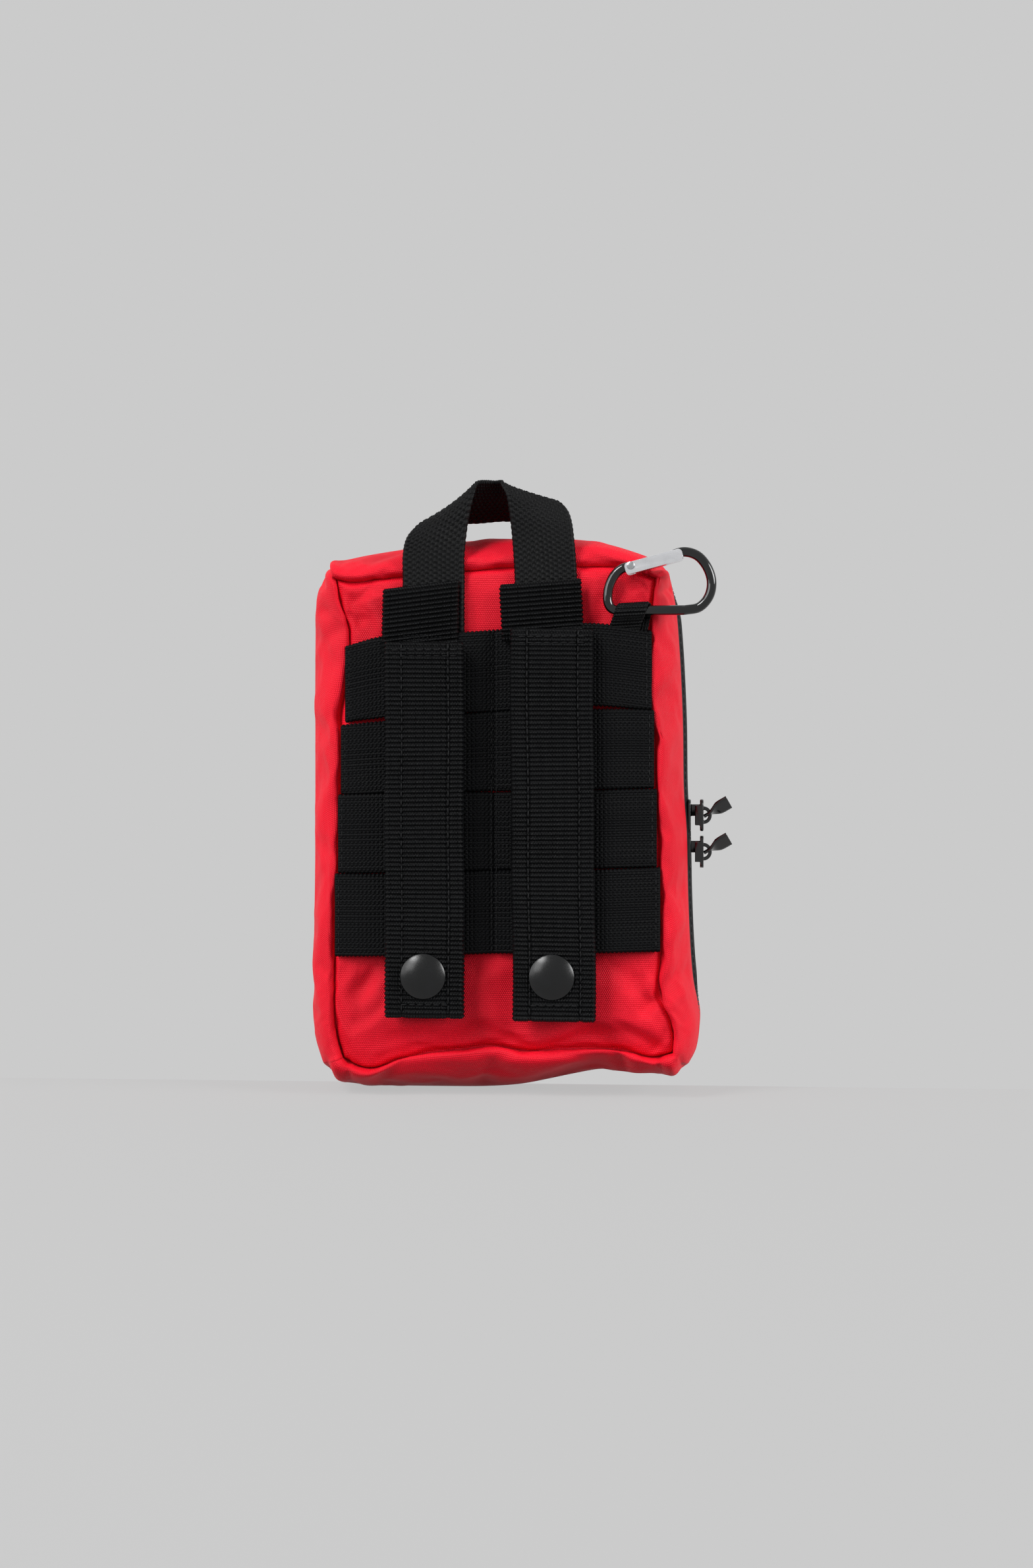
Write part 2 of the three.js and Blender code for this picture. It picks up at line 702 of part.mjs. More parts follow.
function clipBody(parent) {
  const curve = (list) =>
    new THREE.CatmullRomCurve3(list.map(([u, v]) => vector(u, 0, v)), false, "centripetal").getPoints(14);
  const points = [...curve(wideEnd), ...curve(narrowEnd)];
  const bent = rod(points, vector(0, 1, 0), rodRadius, rodSides);
  const [pinX, pinZ] = gatePin;
  const eye = new THREE.CylinderGeometry(eyeRadius, eyeRadius, 2 * rodRadius, 16).translate(pinX, 0, pinZ);
  const hole = new THREE.CylinderGeometry(rivetRadius + gap, rivetRadius + gap, 4 * rodRadius, 12)
    .translate(pinX, 0, pinZ);
  piece("clip_body", cut(join(bent, eye), hole), blackGloss, parent);
}

// The gate: a bent channel round the rod's two ends, pinned at the narrow end, with its spring and rivet.
function clipGate(parent) {
  const pivot = new THREE.Group();
  pivot.position.set(gatePin[0], 0, gatePin[1]);
  pivot.rotation.y = -noseTurn;
  parent.add(pivot);
  const webTop = -(eyeRadius + gap);
  const low = webTop - gateWeb;
  const long = gateLength + gateHeel;
  const high = gateRise - low;
  const profile = roundedShape(long, high, high / 3, gateLength - long / 2, low + high / 2);
  const slot = block(2 * long, channelInner, high, 0, 0, webTop + high / 2);
  const heel = block(2 * gateHeel, channelInner, 2 * high, -gateHeel / 2, 0, 0);
  const hole = new THREE.CylinderGeometry(rivetRadius + gap, rivetRadius + gap, 2 * channelOuter, 12);
  piece("clip_gate", cut(plateY(profile, channelOuter, 0), slot, heel, hole), bareAluminium, pivot);
  const springLength = gateLength / 2;
  const springX = eyeRadius + gap + springLength / 2;
  const spring = block(springLength, channelInner / 2, springThick, springX, 0, webTop + gap + springThick / 2);
  piece("gate_spring", spring, brightSteel, pivot);
  const rim = rivetSeat + rivetHeadThick / 2;
  piece("gate_rivet", turned([
    [0, -rivetEnd], [rivetHeadRadius, -rim], [rivetHeadRadius, -rivetSeat], [rivetRadius, -rivetSeat],
    [rivetRadius, rivetSeat], [rivetHeadRadius, rivetSeat], [rivetHeadRadius, rim], [0, rivetEnd],
  ], 12), bareAluminium, pivot);
}

function clip() {
  const holder = new THREE.Group();
  holder.position.set(loopX, barY, barHeight);
  group.add(holder);
  clipBody(holder);
  clipGate(holder);
}

// Half the width that an elastic band and the net pocket have on the lining
const bandHalfSpan = panelWidth / 2 - liningInset - bandInset;
const pocketHalfSpan = panelWidth / 2 - liningInset - pocketInset;

// Plastic board behind the back panel, and a lining over it and in the cover.
function linings() {
  const holes = [leftStrapX, rightStrapX].map((x) => bore(studShank / 2 + gap, x, boardY, snapHeight));
  const sheet = (inset, thick, y) =>
    block(panelWidth - 2 * inset, thick, panelHeight - 2 * inset, 0, y, panelMiddle);
  piece("back_board", cut(sheet(boardInset, boardThick, boardY), ...holes), boardPlastic);
  piece("back_lining", sheet(liningInset, liningThick, liningY), liningFabric);
  piece("front_lining", sheet(liningInset, liningThick, frontLiningY), liningFabric);
}

const frontLiningY = -panelY - wall - gap - liningThick / 2;
const backFloor = liningY + liningThick / 2 + gap;
const coverFloor = frontLiningY - liningThick / 2 - gap;

// An elastic band across the lining at one height, over each item it holds: [x, half-width, depth, round].
function elasticBand(name, z, items) {
  const low = backFloor + bandThick / 2;
  const clear = gap + bandThick / 2;
  const points = [vector(-bandHalfSpan, low, z)];
  for (const [x, half, depth, round] of items) {
    const reach = half + clear;
    if (round) {
      const steps = 10;
      points.push(vector(x - reach, low, z));
      for (let k = 0; k <= steps; k++) {
        const angle = radians(180 - (180 * k) / steps);
        points.push(vector(x + Math.cos(angle) * reach, backFloor + half + Math.sin(angle) * reach, z));
      }
      points.push(vector(x + reach, low, z));
    } else {
      const top = backFloor + depth + clear;
      const ease = bandThick;
      points.push(vector(x - reach, low, z), vector(x - reach, top - ease, z), vector(x - reach + ease, top, z));
      points.push(vector(x + reach - ease, top, z), vector(x + reach, top - ease, z), vector(x + reach, low, z));
    }
  }
  points.push(vector(bandHalfSpan, low, z));
  piece("elastic_band_" + name, strip(points, vector(0, 0, 1), bandHeight, bandThick), blackWebbing);
}

// A sealed packet: a flat pillow by its size, with its middle at the origin.
function packet(width, thick, height) {
  const share = [[0.6, -0.5], [0.94, -0.3], [1, 0], [0.94, 0.3], [0.6, 0.5]];
  return loft(share.map(([size, along]) => {
    const trim = (1 - size) * 2 * thick;
    const radius = thick / 2;
    const [x, z] = [(width - trim) / 2 - radius, (height - trim) / 2 - radius];
    return [[x, z], [-x, z], [-x, -z], [x, -z]].flatMap(([cx, cz], quarter) =>
      [0, 45, 90].map((angle) => {
        const turn = radians(angle + 90 * quarter);
        return vector(cx + Math.cos(turn) * radius, along * thick, cz + Math.sin(turn) * radius);
      }));
  }));
}

function bandageRolls() {
  const radius = rollDiameter / 2;
  const items = [];
  for (let i = 0; i < rollCount; i++) {
    const x = firstRollX + i * rollSpacing;
    const crown = radius / 6;
    const ends = rollLength / 2;
    const mesh = piece("bandage_roll_" + (i + 1), new THREE.LatheGeometry([
      [0, -ends + crown], [radius / 2, -ends + crown], [0.9 * radius, -ends], [radius, -ends + crown],
      [radius, ends - crown], [0.9 * radius, ends], [radius / 2, ends - crown], [0, ends - crown],
    ].map(([r, z]) => new THREE.Vector2(r, z)), 20).rotateX(Math.PI / 2), whiteCotton);
    mesh.position.set(x, backFloor + radius, upperBandZ);
    items.push([x, radius, rollDiameter, true]);
  }
  return items;
}

function tweezers() {
  const half = tweezersWidth / 2;
  const slot = 0.3 * half;
  const shape = new THREE.Shape();
  shape.moveTo(-half, tweezersLength / 2);
  shape.lineTo(-half, 0.15 * tweezersLength);
  shape.lineTo(-slot - 0.3 * half, -tweezersLength / 2);
  shape.lineTo(-slot, -tweezersLength / 2);
  shape.lineTo(-slot, 0.36 * tweezersLength);
  shape.lineTo(slot, 0.36 * tweezersLength);
  shape.lineTo(slot, -tweezersLength / 2);
  shape.lineTo(slot + 0.3 * half, -tweezersLength / 2);
  shape.lineTo(half, 0.15 * tweezersLength);
  shape.lineTo(half, tweezersLength / 2);
  const mesh = piece("tweezers", plateY(shape, tweezersThick, 0), brightSteel);
  mesh.position.set(tweezersX, backFloor + tweezersThick / 2, upperBandZ);
  return [tweezersX, half, tweezersThick, false];
}

function backSupplies() {
  elasticBand("upper", upperBandZ, [...bandageRolls(), tweezers()]);
  const gloves = piece("gloves_packet", packet(glovesWidth, glovesThick, glovesHeight), packetFilm);
  gloves.position.set(glovesX, backFloor + glovesThick / 2, lowerBandZ);
  const roll = piece("tape_roll", turned([
    [tapeRollBore / 2, -tapeRollWidth / 2], [tapeRollDiameter / 2, -tapeRollWidth / 2],
    [tapeRollDiameter / 2, tapeRollWidth / 2], [tapeRollBore / 2, tapeRollWidth / 2],
    [tapeRollBore / 2, -tapeRollWidth / 2],
  ], 28), whiteCotton);
  roll.position.set(tapeRollX, backFloor + tapeRollWidth / 2, lowerBandZ);
  elasticBand("lower", lowerBandZ, [
    [glovesX, glovesWidth / 2, glovesThick, false], [tapeRollX, tapeRollDiameter / 2, tapeRollWidth, false],
  ]);
}

// A strip of the pocket's outline: out from the lining at one edge, across, and back at the other.
function pocketPath(depth) {
  const points = [vector(-pocketHalfSpan, coverFloor - netThick / 2, 0)];
  const front = coverFloor - netThick / 2 - depth;
  points.push(vector(-pocketHalfSpan, front + pocketCorner, 0), vector(-pocketHalfSpan + pocketCorner, front, 0));
  return [...points, ...points.slice().reverse().map(({ x, y }) => vector(-x, y, 0))];
}

function coverPocket() {
  const height = pocketHigh - pocketLow;
  const up = vector(0, 0, 1);
  const net = piece("net_pocket", strip(pocketPath(pocketDepth), up, height, netThick), blackWebbing);
  net.position.z = pocketLow + height / 2;
  const offset = netThick / 2 + gap + bindingThick / 2;
  const front = coverFloor - netThick / 2 - pocketDepth - offset;
  const side = pocketHalfSpan - pocketCorner;
  piece("pocket_binding", block(2 * side, bindingThick, bindingWidth, 0, front, pocketHigh - bindingWidth / 2),
    blackWebbing);
  const place = (mesh, x, thick, z) => mesh.position.set(x, coverFloor - thick / 2, z);
  place(piece("blanket_packet", packet(blanketWidth, blanketThick, blanketHeight), packetFilm),
    0, blanketThick, pocketLow + packetGap + blanketHeight / 2);
  const shelf = pocketLow + 2 * packetGap + blanketHeight;
  place(piece("dressing_packet", packet(padsWidth, padsThick, padsHeight), packetPaper),
    -(padsWidth + packetGap) / 2, padsThick, shelf + padsHeight / 2);
  place(piece("plaster_packet", packet(plastersWidth, plastersThick, plastersHeight), packetPaper),
    (plastersWidth + packetGap) / 2, plastersThick, shelf + plastersHeight / 2);
}

backShell();
frontShell();
zip("back", -1);
zip("front", 1);
zipSliders();
webbingRows();
strap("left", leftStrapX, leftStrapTop);
strap("right", rightStrapX, rightStrapTop);
anchor("left", leftAnchorX, anchorTopLeft);
anchor("right", rightAnchorX, anchorTopRight);
snap("left", leftStrapX);
snap("right", rightStrapX);
carryHandle();
clipLoop();
clip();
linings();
backSupplies();
coverPocket();

export default group;
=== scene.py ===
import json
import math
import bmesh
import bpy
import numpy as np
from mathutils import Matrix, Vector

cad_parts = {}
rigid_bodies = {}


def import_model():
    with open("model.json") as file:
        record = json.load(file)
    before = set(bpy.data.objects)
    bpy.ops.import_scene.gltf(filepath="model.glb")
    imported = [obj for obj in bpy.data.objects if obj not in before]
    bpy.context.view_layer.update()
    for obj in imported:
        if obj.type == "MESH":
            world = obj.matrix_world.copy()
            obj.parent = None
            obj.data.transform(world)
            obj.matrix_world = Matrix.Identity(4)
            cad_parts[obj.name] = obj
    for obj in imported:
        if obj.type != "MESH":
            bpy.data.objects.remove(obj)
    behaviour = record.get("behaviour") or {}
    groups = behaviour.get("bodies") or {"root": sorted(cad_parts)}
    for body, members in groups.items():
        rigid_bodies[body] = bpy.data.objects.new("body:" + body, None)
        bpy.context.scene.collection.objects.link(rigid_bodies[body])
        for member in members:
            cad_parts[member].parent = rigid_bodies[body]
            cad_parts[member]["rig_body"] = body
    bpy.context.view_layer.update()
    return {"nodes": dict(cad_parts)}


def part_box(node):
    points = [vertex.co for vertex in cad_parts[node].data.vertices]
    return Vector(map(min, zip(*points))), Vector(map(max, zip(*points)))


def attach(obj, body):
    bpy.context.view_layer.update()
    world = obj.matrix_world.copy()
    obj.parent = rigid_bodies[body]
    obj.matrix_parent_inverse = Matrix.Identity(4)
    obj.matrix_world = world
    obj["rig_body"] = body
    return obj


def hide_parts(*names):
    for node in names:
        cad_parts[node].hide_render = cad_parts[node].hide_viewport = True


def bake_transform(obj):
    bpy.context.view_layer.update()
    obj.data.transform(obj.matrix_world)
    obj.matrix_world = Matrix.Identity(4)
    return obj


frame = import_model()

# Sizes below are in millimetres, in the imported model's frame, and go to metres when a mesh is made.
mm = 0.001


# Nodes and materials


def linear(hexColour):
    parts = [int(hexColour[i:i + 2], 16) / 255 for i in (0, 2, 4)]
    return tuple(c / 12.92 if c <= 0.04045 else ((c + 0.055) / 1.055) ** 2.4 for c in parts) + (1.0,)


def addNode(tree, kind, inputs=(), **settings):
    # Inputs come by name or number, or in order. A node stands for its first output.
    node = tree.nodes.new(kind)
    for key, value in settings.items():
        setattr(node, key, value)
    for key, value in inputs.items() if isinstance(inputs, dict) else enumerate(inputs):
        value = value.outputs[0] if isinstance(value, bpy.types.Node) else value
        if isinstance(value, bpy.types.NodeSocket):
            tree.links.new(value, node.inputs[key])
        else:
            node.inputs[key].default_value = value
    return node


def humps(tree, value, turn):
    # |sin| of the value times the turn
    turned = addNode(tree, "ShaderNodeMath", (value, turn), operation="MULTIPLY")
    wave = addNode(tree, "ShaderNodeMath", (turned,), operation="SINE")
    return addNode(tree, "ShaderNodeMath", (wave,), operation="ABSOLUTE")


def emptyTree(owner):
    owner.use_nodes = True
    owner.node_tree.nodes.clear()
    return owner.node_tree


def makeMaterial(name, look, build):
    # The build gives the surface's colour, roughness and height.
    material = bpy.data.materials.new(name)
    tree = emptyTree(material)
    colour, rough, height = build(tree, addNode(tree, "ShaderNodeTexCoord").outputs["Object"], look)
    bump = addNode(tree, "ShaderNodeBump", {
        "Strength": look["bump"], "Distance": look["depth"] * mm, "Height": height})
    shader = addNode(tree, "ShaderNodeBsdfPrincipled", {
        "Base Color": colour, "Roughness": rough, "Normal": bump, "Metallic": look["metal"],
        "Specular IOR Level": look["shine"], **look["sockets"]})
    addNode(tree, "ShaderNodeOutputMaterial", {"Surface": shader})
    return material


# What a cloth or a hard surface has unless its own dictionary says otherwise; shine is the specular level
clothLook = {"stagger": False, "cloud": 45, "dim": 0.9, "fibre": 0.25, "bump": 0.6, "metal": 0.0, "shine": 0.5,
             "sockets": {}}
hardLook = {"stretch": (1, 1, 1), "wear": 0.3, "bump": 0.3, "metal": 0.0, "shine": 0.5, "sockets": {}}
noise = {"fuzz": 2600, "patch": 260, "cloth": (0.3, 0.7), "grain": (0.25, 0.75), "worn": (0.5, 0.8),
         "spun": (0.6, 1.0), "bright": 1.04, "clothRough": (-0.05, 0.06), "hardRough": (0.8, 1.25)}


def weave(tree, coords, look):
    # Threads follow the piece's own "thread" attribute: metres across and along the cloth. The colour is painted
    # light: the low colour is painted shade in the weave's valleys, the high colour painted highlight on the thread
    # crests.
    thread = addNode(tree, "ShaderNodeAttribute", attribute_name="thread")
    across, along, _ = addNode(tree, "ShaderNodeSeparateXYZ", (thread.outputs["Vector"],)).outputs[:]
    weft = humps(tree, along, math.pi / (look["along"] * mm))
    if look["stagger"]:
        # every other weft row is moved half a thread sideways
        row = addNode(tree, "ShaderNodeMath", (along, 1 / (look["along"] * mm)), operation="MULTIPLY")
        row = addNode(tree, "ShaderNodeMath", (row,), operation="FLOOR")
        across = addNode(tree, "ShaderNodeMath", (row, look["across"] * mm / 2, across), operation="MULTIPLY_ADD")
    warp = humps(tree, across, math.pi / (look["across"] * mm))
    height = addNode(tree, "ShaderNodeMath", (weft, warp), operation="MULTIPLY")
    cloudy, fuzz = (addNode(tree, "ShaderNodeTexNoise", {"Vector": coords, "Scale": scale, "Detail": detail})
                    for scale, detail in ((look["cloud"], 3), (noise["fuzz"], 2)))
    spun = addNode(tree, "ShaderNodeMapRange", (fuzz, *noise["cloth"], *noise["spun"]))
    # painted highlight on the thread crests and painted shade in the valleys, broken up by the fibre noise
    lit = addNode(tree, "ShaderNodeMath", (height, spun), operation="MULTIPLY")
    crestLightValleyShade = addNode(tree, "ShaderNodeMix", {0: lit, 6: linear(look["low"]), 7: linear(look["high"])}, data_type="RGBA")
    shade = addNode(tree, "ShaderNodeMapRange", (cloudy, *noise["cloth"], look["dim"], noise["bright"]))
    colour = addNode(tree, "ShaderNodeVectorMath", {0: crestLightValleyShade.outputs[2], 3: shade}, operation="SCALE")
    ends = [look["rough"] + step for step in noise["clothRough"]]
    rough = addNode(tree, "ShaderNodeMapRange", (cloudy, *noise["cloth"], *ends))
    fibre = addNode(tree, "ShaderNodeMath", (fuzz, look["fibre"], height), operation="MULTIPLY_ADD")
    return colour, rough, fibre


def grind(tree, coords, look):
    # Cast, moulded, drawn or anodised surfaces: fine grain in roughness and bump, and rubbed patches.
    drawn = addNode(tree, "ShaderNodeMapping", {"Vector": coords, "Scale": look["stretch"]})
    grain = addNode(tree, "ShaderNodeTexNoise", {"Vector": drawn, "Scale": 1 / (look["grain"] * mm), "Detail": 3})
    patches = addNode(tree, "ShaderNodeTexNoise", {"Vector": coords, "Scale": noise["patch"], "Detail": 4})
    worn = addNode(tree, "ShaderNodeMapRange", (patches, *noise["worn"], 0.0, look["wear"]))
    colour = addNode(tree, "ShaderNodeMix", {0: worn, 6: linear(look["colour"]), 7: linear(look["worn"])},
                     data_type="RGBA")
    ends = [look["rough"] * times for times in noise["hardRough"]]
    return colour.outputs[2], addNode(tree, "ShaderNodeMapRange", (grain, *noise["grain"], *ends)), grain


def wovenMaterial(name, look):
    return makeMaterial(name, {**clothLook, **look}, weave)


def hardMaterial(name, look):
    return makeMaterial(name, {**hardLook, **look}, grind)


# In each woven look below, low is the painted shade of the weave's valleys and high the painted highlight on its
# thread crests.
# PU-coated nylon oxford, plain weave of 0.6 mm yarn pairs: small staggered dots of raised yarn, lighter by painted
# highlight on their crests, and a satin, slightly wet sheen
redOxford = wovenMaterial("coated nylon oxford", {
    "low": "DE0A1E", "high": "FC2240", "across": 0.62, "along": 0.62, "stagger": True, "depth": 0.16, "bump": 0.8,
    "rough": 0.5, "cloud": 30, "shine": 0.15})
# Same cloth uncoated on the inside: flatter and duller
redLining = wovenMaterial("nylon lining taffeta", {
    "low": "A01018", "high": "C81E28", "across": 0.5, "along": 0.5, "depth": 0.06, "rough": 0.62, "shine": 0.35,
    "sockets": {"Sheen Weight": 0.1}})
# Spun-look nylon webbing, ribs 1.5 mm apart with bead-like floats: matt black with grey painted highlights on the rib
# crests
blackWebbing = wovenMaterial("ribbed nylon webbing", {
    "low": "020203", "high": "111214", "across": 0.95, "along": 1.5, "depth": 0.4, "bump": 1.0, "rough": 0.5,
    "cloud": 60, "dim": 0.75, "fibre": 0.5, "shine": 0.12})
# Row webbing, finer ribs
rowWebbing = wovenMaterial("ribbed nylon belt webbing", {
    "low": "020203", "high": "131416", "across": 0.85, "along": 1.4, "depth": 0.25, "bump": 1.0, "rough": 0.6,
    "cloud": 60, "dim": 0.75, "fibre": 0.5, "shine": 0.1})
# Basket-weave webbing with round beads of doubled yarn
basketWebbing = wovenMaterial("basket-weave nylon webbing", {
    "low": "020203", "high": "101112", "across": 0.5, "along": 0.5, "depth": 0.1, "rough": 0.55, "cloud": 60,
    "dim": 0.8, "fibre": 0.6, "shine": 0.15})
# Woven polyester zip tape, fine herringbone seen as close dots
tapeCloth = wovenMaterial("woven polyester zip tape", {
    "low": "060607", "high": "151618", "across": 0.4, "along": 0.45, "stagger": True, "depth": 0.06, "rough": 0.7,
    "shine": 0.3})
# Knitted elastic: lengthwise cords of rubber under nylon
elasticCloth = wovenMaterial("knitted elastic", {
    "low": "0A0B0C", "high": "34363A", "across": 1.1, "along": 0.6, "depth": 0.2, "rough": 0.75, "shine": 0.3})
# Bonded polyester sewing thread, twisted, with a low gloss
blackThread = hardMaterial("bonded black thread", {
    "colour": "0A0A0C", "worn": "17181B", "grain": 0.3, "depth": 0.05, "rough": 0.6, "shine": 0.2})
# Injection-moulded nylon zip teeth: semi-gloss black
zipNylon = hardMaterial("moulded nylon", {
    "colour": "101114", "worn": "23252A", "grain": 0.6, "depth": 0.02, "rough": 0.38})
# Zinc die casting under black enamel: rounded, glossy, slight orange peel
zincEnamel = hardMaterial("enamelled zinc casting", {
    "colour": "0C0D0F", "worn": "2A2422", "grain": 1.4, "depth": 0.03, "rough": 0.22, "metal": 0.3,
    "sockets": {"Coat Weight": 0.5, "Coat Roughness": 0.12}})
# Pressed brass cap under satin black enamel: soft wide highlight with small dents
capEnamel = hardMaterial("satin enamelled snap cap", {
    "colour": "040506", "worn": "0A0C0F", "grain": 0.5, "depth": 0.02, "rough": 0.26, "wear": 0.6, "shine": 0.42})
# Nickel-plated pressed steel: bright with faint draw lines
nickelSteel = hardMaterial("nickel-plated steel", {
    "colour": "B9BBBD", "worn": "8E9092", "grain": 0.4, "stretch": (1, 1, 6), "depth": 0.01, "rough": 0.24,
    "metal": 1.0})
# Drawn aluminium rod, black anodised and polished: deep mirror-like black
anodisedRod = hardMaterial("black anodised aluminium", {
    "colour": "070809", "worn": "131518", "grain": 0.5, "stretch": (0.2, 1, 1), "depth": 0.006, "rough": 0.12,
    "metal": 0.6, "sockets": {"Coat Weight": 0.8, "Coat Roughness": 0.05}})
# Folded aluminium strip, tumbled: bright satin with rubbed edges
tumbledAluminium = hardMaterial("tumbled aluminium strip", {
    "colour": "F0F1F4", "worn": "C4C7CC", "grain": 0.35, "stretch": (0.15, 1, 1), "depth": 0.012, "rough": 0.24,
    "metal": 1.0})
# Cut polyethylene sheet: waxy off-white
waxySheet = hardMaterial("polyethylene sheet", {
    "colour": "D2D4D8", "worn": "BEC0C6", "grain": 0.8, "depth": 0.01, "rough": 0.5})


# Mesh helpers


def addObject(name, data):
    holder = bpy.data.objects.new(name, data)
    bpy.context.scene.collection.objects.link(holder)
    return holder


def setVectors(piece, key, values):
    layer = piece.data.attributes.new(key, "FLOAT_VECTOR", "POINT")
    wide = np.broadcast_to(values, (len(piece.data.vertices), 3))
    layer.data.foreach_set("vector", wide.astype(np.float32).ravel())


def makeMesh(name, points, faces, material, thread=None, smooth=True):
    # The thread is across and along in millimetres, and for a webbing also the weight of its relief.
    mesh = bpy.data.meshes.new(name)
    mesh.from_pydata([tuple(p) for p in np.asarray(points, float) * mm], [], [tuple(f) for f in faces])
    mesh.validate()
    piece = addObject(name, mesh)
    if thread is not None:
        thread = np.asarray(thread, np.float32)
        flat = np.zeros((len(points), 3), np.float32)
        flat[:, :thread.shape[1]] = thread
        flat[:, :2] *= mm
        setVectors(piece, "thread", flat)
    if material:
        mesh.materials.append(material)
    if smooth:
        mesh.polygons.foreach_set("use_smooth", [True] * len(mesh.polygons))
    mesh.update()
    return piece


def gridFaces(rows, columns):
    return [(j * columns + i, j * columns + i + 1, (j + 1) * columns + i + 1, (j + 1) * columns + i)
            for j in range(rows - 1) for i in range(columns - 1)]


def borderOf(rows, columns):
    # The outer points of such a grid, in order round it
    return (list(range(columns - 1)) + [j * columns + columns - 1 for j in range(rows - 1)]
            + [(rows - 1) * columns + i for i in range(columns - 1, 0, -1)]
            + [j * columns for j in range(rows - 1, 0, -1)])


def tubeFaces(rings, count, capped=True):
    # Quads between rings of count points, and a face on each end
    sides = [(k * count + i, k * count + (i + 1) % count, (k + 1) * count + (i + 1) % count, (k + 1) * count + i)
             for k in range(rings - 1) for i in range(count)]
    ends = [tuple(range(count))[::-1], tuple(range((rings - 1) * count, rings * count))]
    return sides + ends if capped else sides


def faceOut(piece):
    work = bmesh.new()
    work.from_mesh(piece.data)
    bmesh.ops.recalc_face_normals(work, faces=work.faces)
    work.to_mesh(piece.data)
    work.free()
    piece.data.update()
    return piece


def settle(piece):
    # Turns what the modifiers give into the piece's plain mesh.
    graph = bpy.context.evaluated_depsgraph_get()
    graph.update()
    mesh = bpy.data.meshes.new_from_object(piece.evaluated_get(graph), preserve_all_data_layers=True, depsgraph=graph)
    piece.modifiers.clear()
    old = piece.data
    piece.data = mesh
    mesh.name = piece.name
    if old.users == 0:
        bpy.data.meshes.remove(old)
    return piece


def thicken(piece, thickness, offset=0):
    wall = piece.modifiers.new("wall", "SOLIDIFY")
    wall.thickness, wall.offset = thickness * mm, offset
    return faceOut(settle(piece))


def wear(piece, slot, body, *nodes):
    # A piece without a body here is attached to none.
    if nodes:
        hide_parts(*nodes)
    if body:
        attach(piece, body)
    return piece


def boxOf(node):
    return [np.array(corner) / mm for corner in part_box(node)]


def lengths(points):
    return np.concatenate([[0], np.cumsum(np.linalg.norm(np.diff(points, axis=0), axis=1))])


def evenly(points, count):
    length = lengths(points)
    wanted = np.linspace(0, length[-1], count + 1)
    return np.stack([np.interp(wanted, length, points[:, k]) for k in range(points.shape[1])], axis=1)


def through(places, count):
    # A smooth curve through the places, as count + 1 points at even steps of length.
    places = [np.asarray(p, float) for p in places]
    padded = [2 * places[0] - places[1]] + places + [2 * places[-1] - places[-2]]
    dense = []
    for before, a, b, after in zip(padded, padded[1:], padded[2:], padded[3:]):
        knots = [0.0]
        for p, q in ((before, a), (a, b), (b, after)):
            knots.append(knots[-1] + max(np.linalg.norm(q - p), 1e-9) ** 0.5)
        t0, t1, t2, t3 = knots
        for t in np.linspace(t1, t2, 24, endpoint=False):
            c1 = (t1 - t) / (t1 - t0) * before + (t - t0) / (t1 - t0) * a
            c2 = (t2 - t) / (t2 - t1) * a + (t - t1) / (t2 - t1) * b
            c3 = (t3 - t) / (t3 - t2) * b + (t - t2) / (t3 - t2) * after
            d1 = (t2 - t) / (t2 - t0) * c1 + (t - t0) / (t2 - t0) * c2
            d2 = (t3 - t) / (t3 - t1) * c2 + (t - t1) / (t3 - t1) * c3
            dense.append((t2 - t) / (t2 - t1) * d1 + (t - t1) / (t2 - t1) * d2)
    return evenly(np.array(dense + [places[-1]]), count)


def smoothStep(value, low, high):
    share = np.clip((value - low) / (high - low), 0, 1)
    return share * share * (3 - 2 * share)


def unit(vectors):
    vectors = np.asarray(vectors, float)
    return vectors / np.maximum(np.linalg.norm(vectors, axis=-1, keepdims=True), 1e-9)


def tangents(points):
    return unit(np.gradient(points, axis=0))


def smoothNoise(points, scale, seed):
    # A cheap sum of turned sine waves, the same on every run.
    draw = np.random.default_rng(seed)
    total = np.zeros(len(points))
    for _ in range(9):
        way = draw.normal(size=3)
        way /= np.linalg.norm(way)
        total += np.sin(points @ way * (2 * math.pi / scale) * draw.uniform(0.6, 1.6) + draw.uniform(0, 6.28))
    return total / 3


def readVertices(piece, key):
    values = np.zeros(len(piece.data.vertices) * 3, np.float32)
    piece.data.vertices.foreach_get(key, values)
    return values.reshape(-1, 3).astype(float)


def placesOf(piece):
    return readVertices(piece, "co") / mm


def setPlaces(piece, places):
    piece.data.vertices.foreach_set("co", (np.asarray(places) * mm).astype(np.float32).ravel())
    piece.data.update()


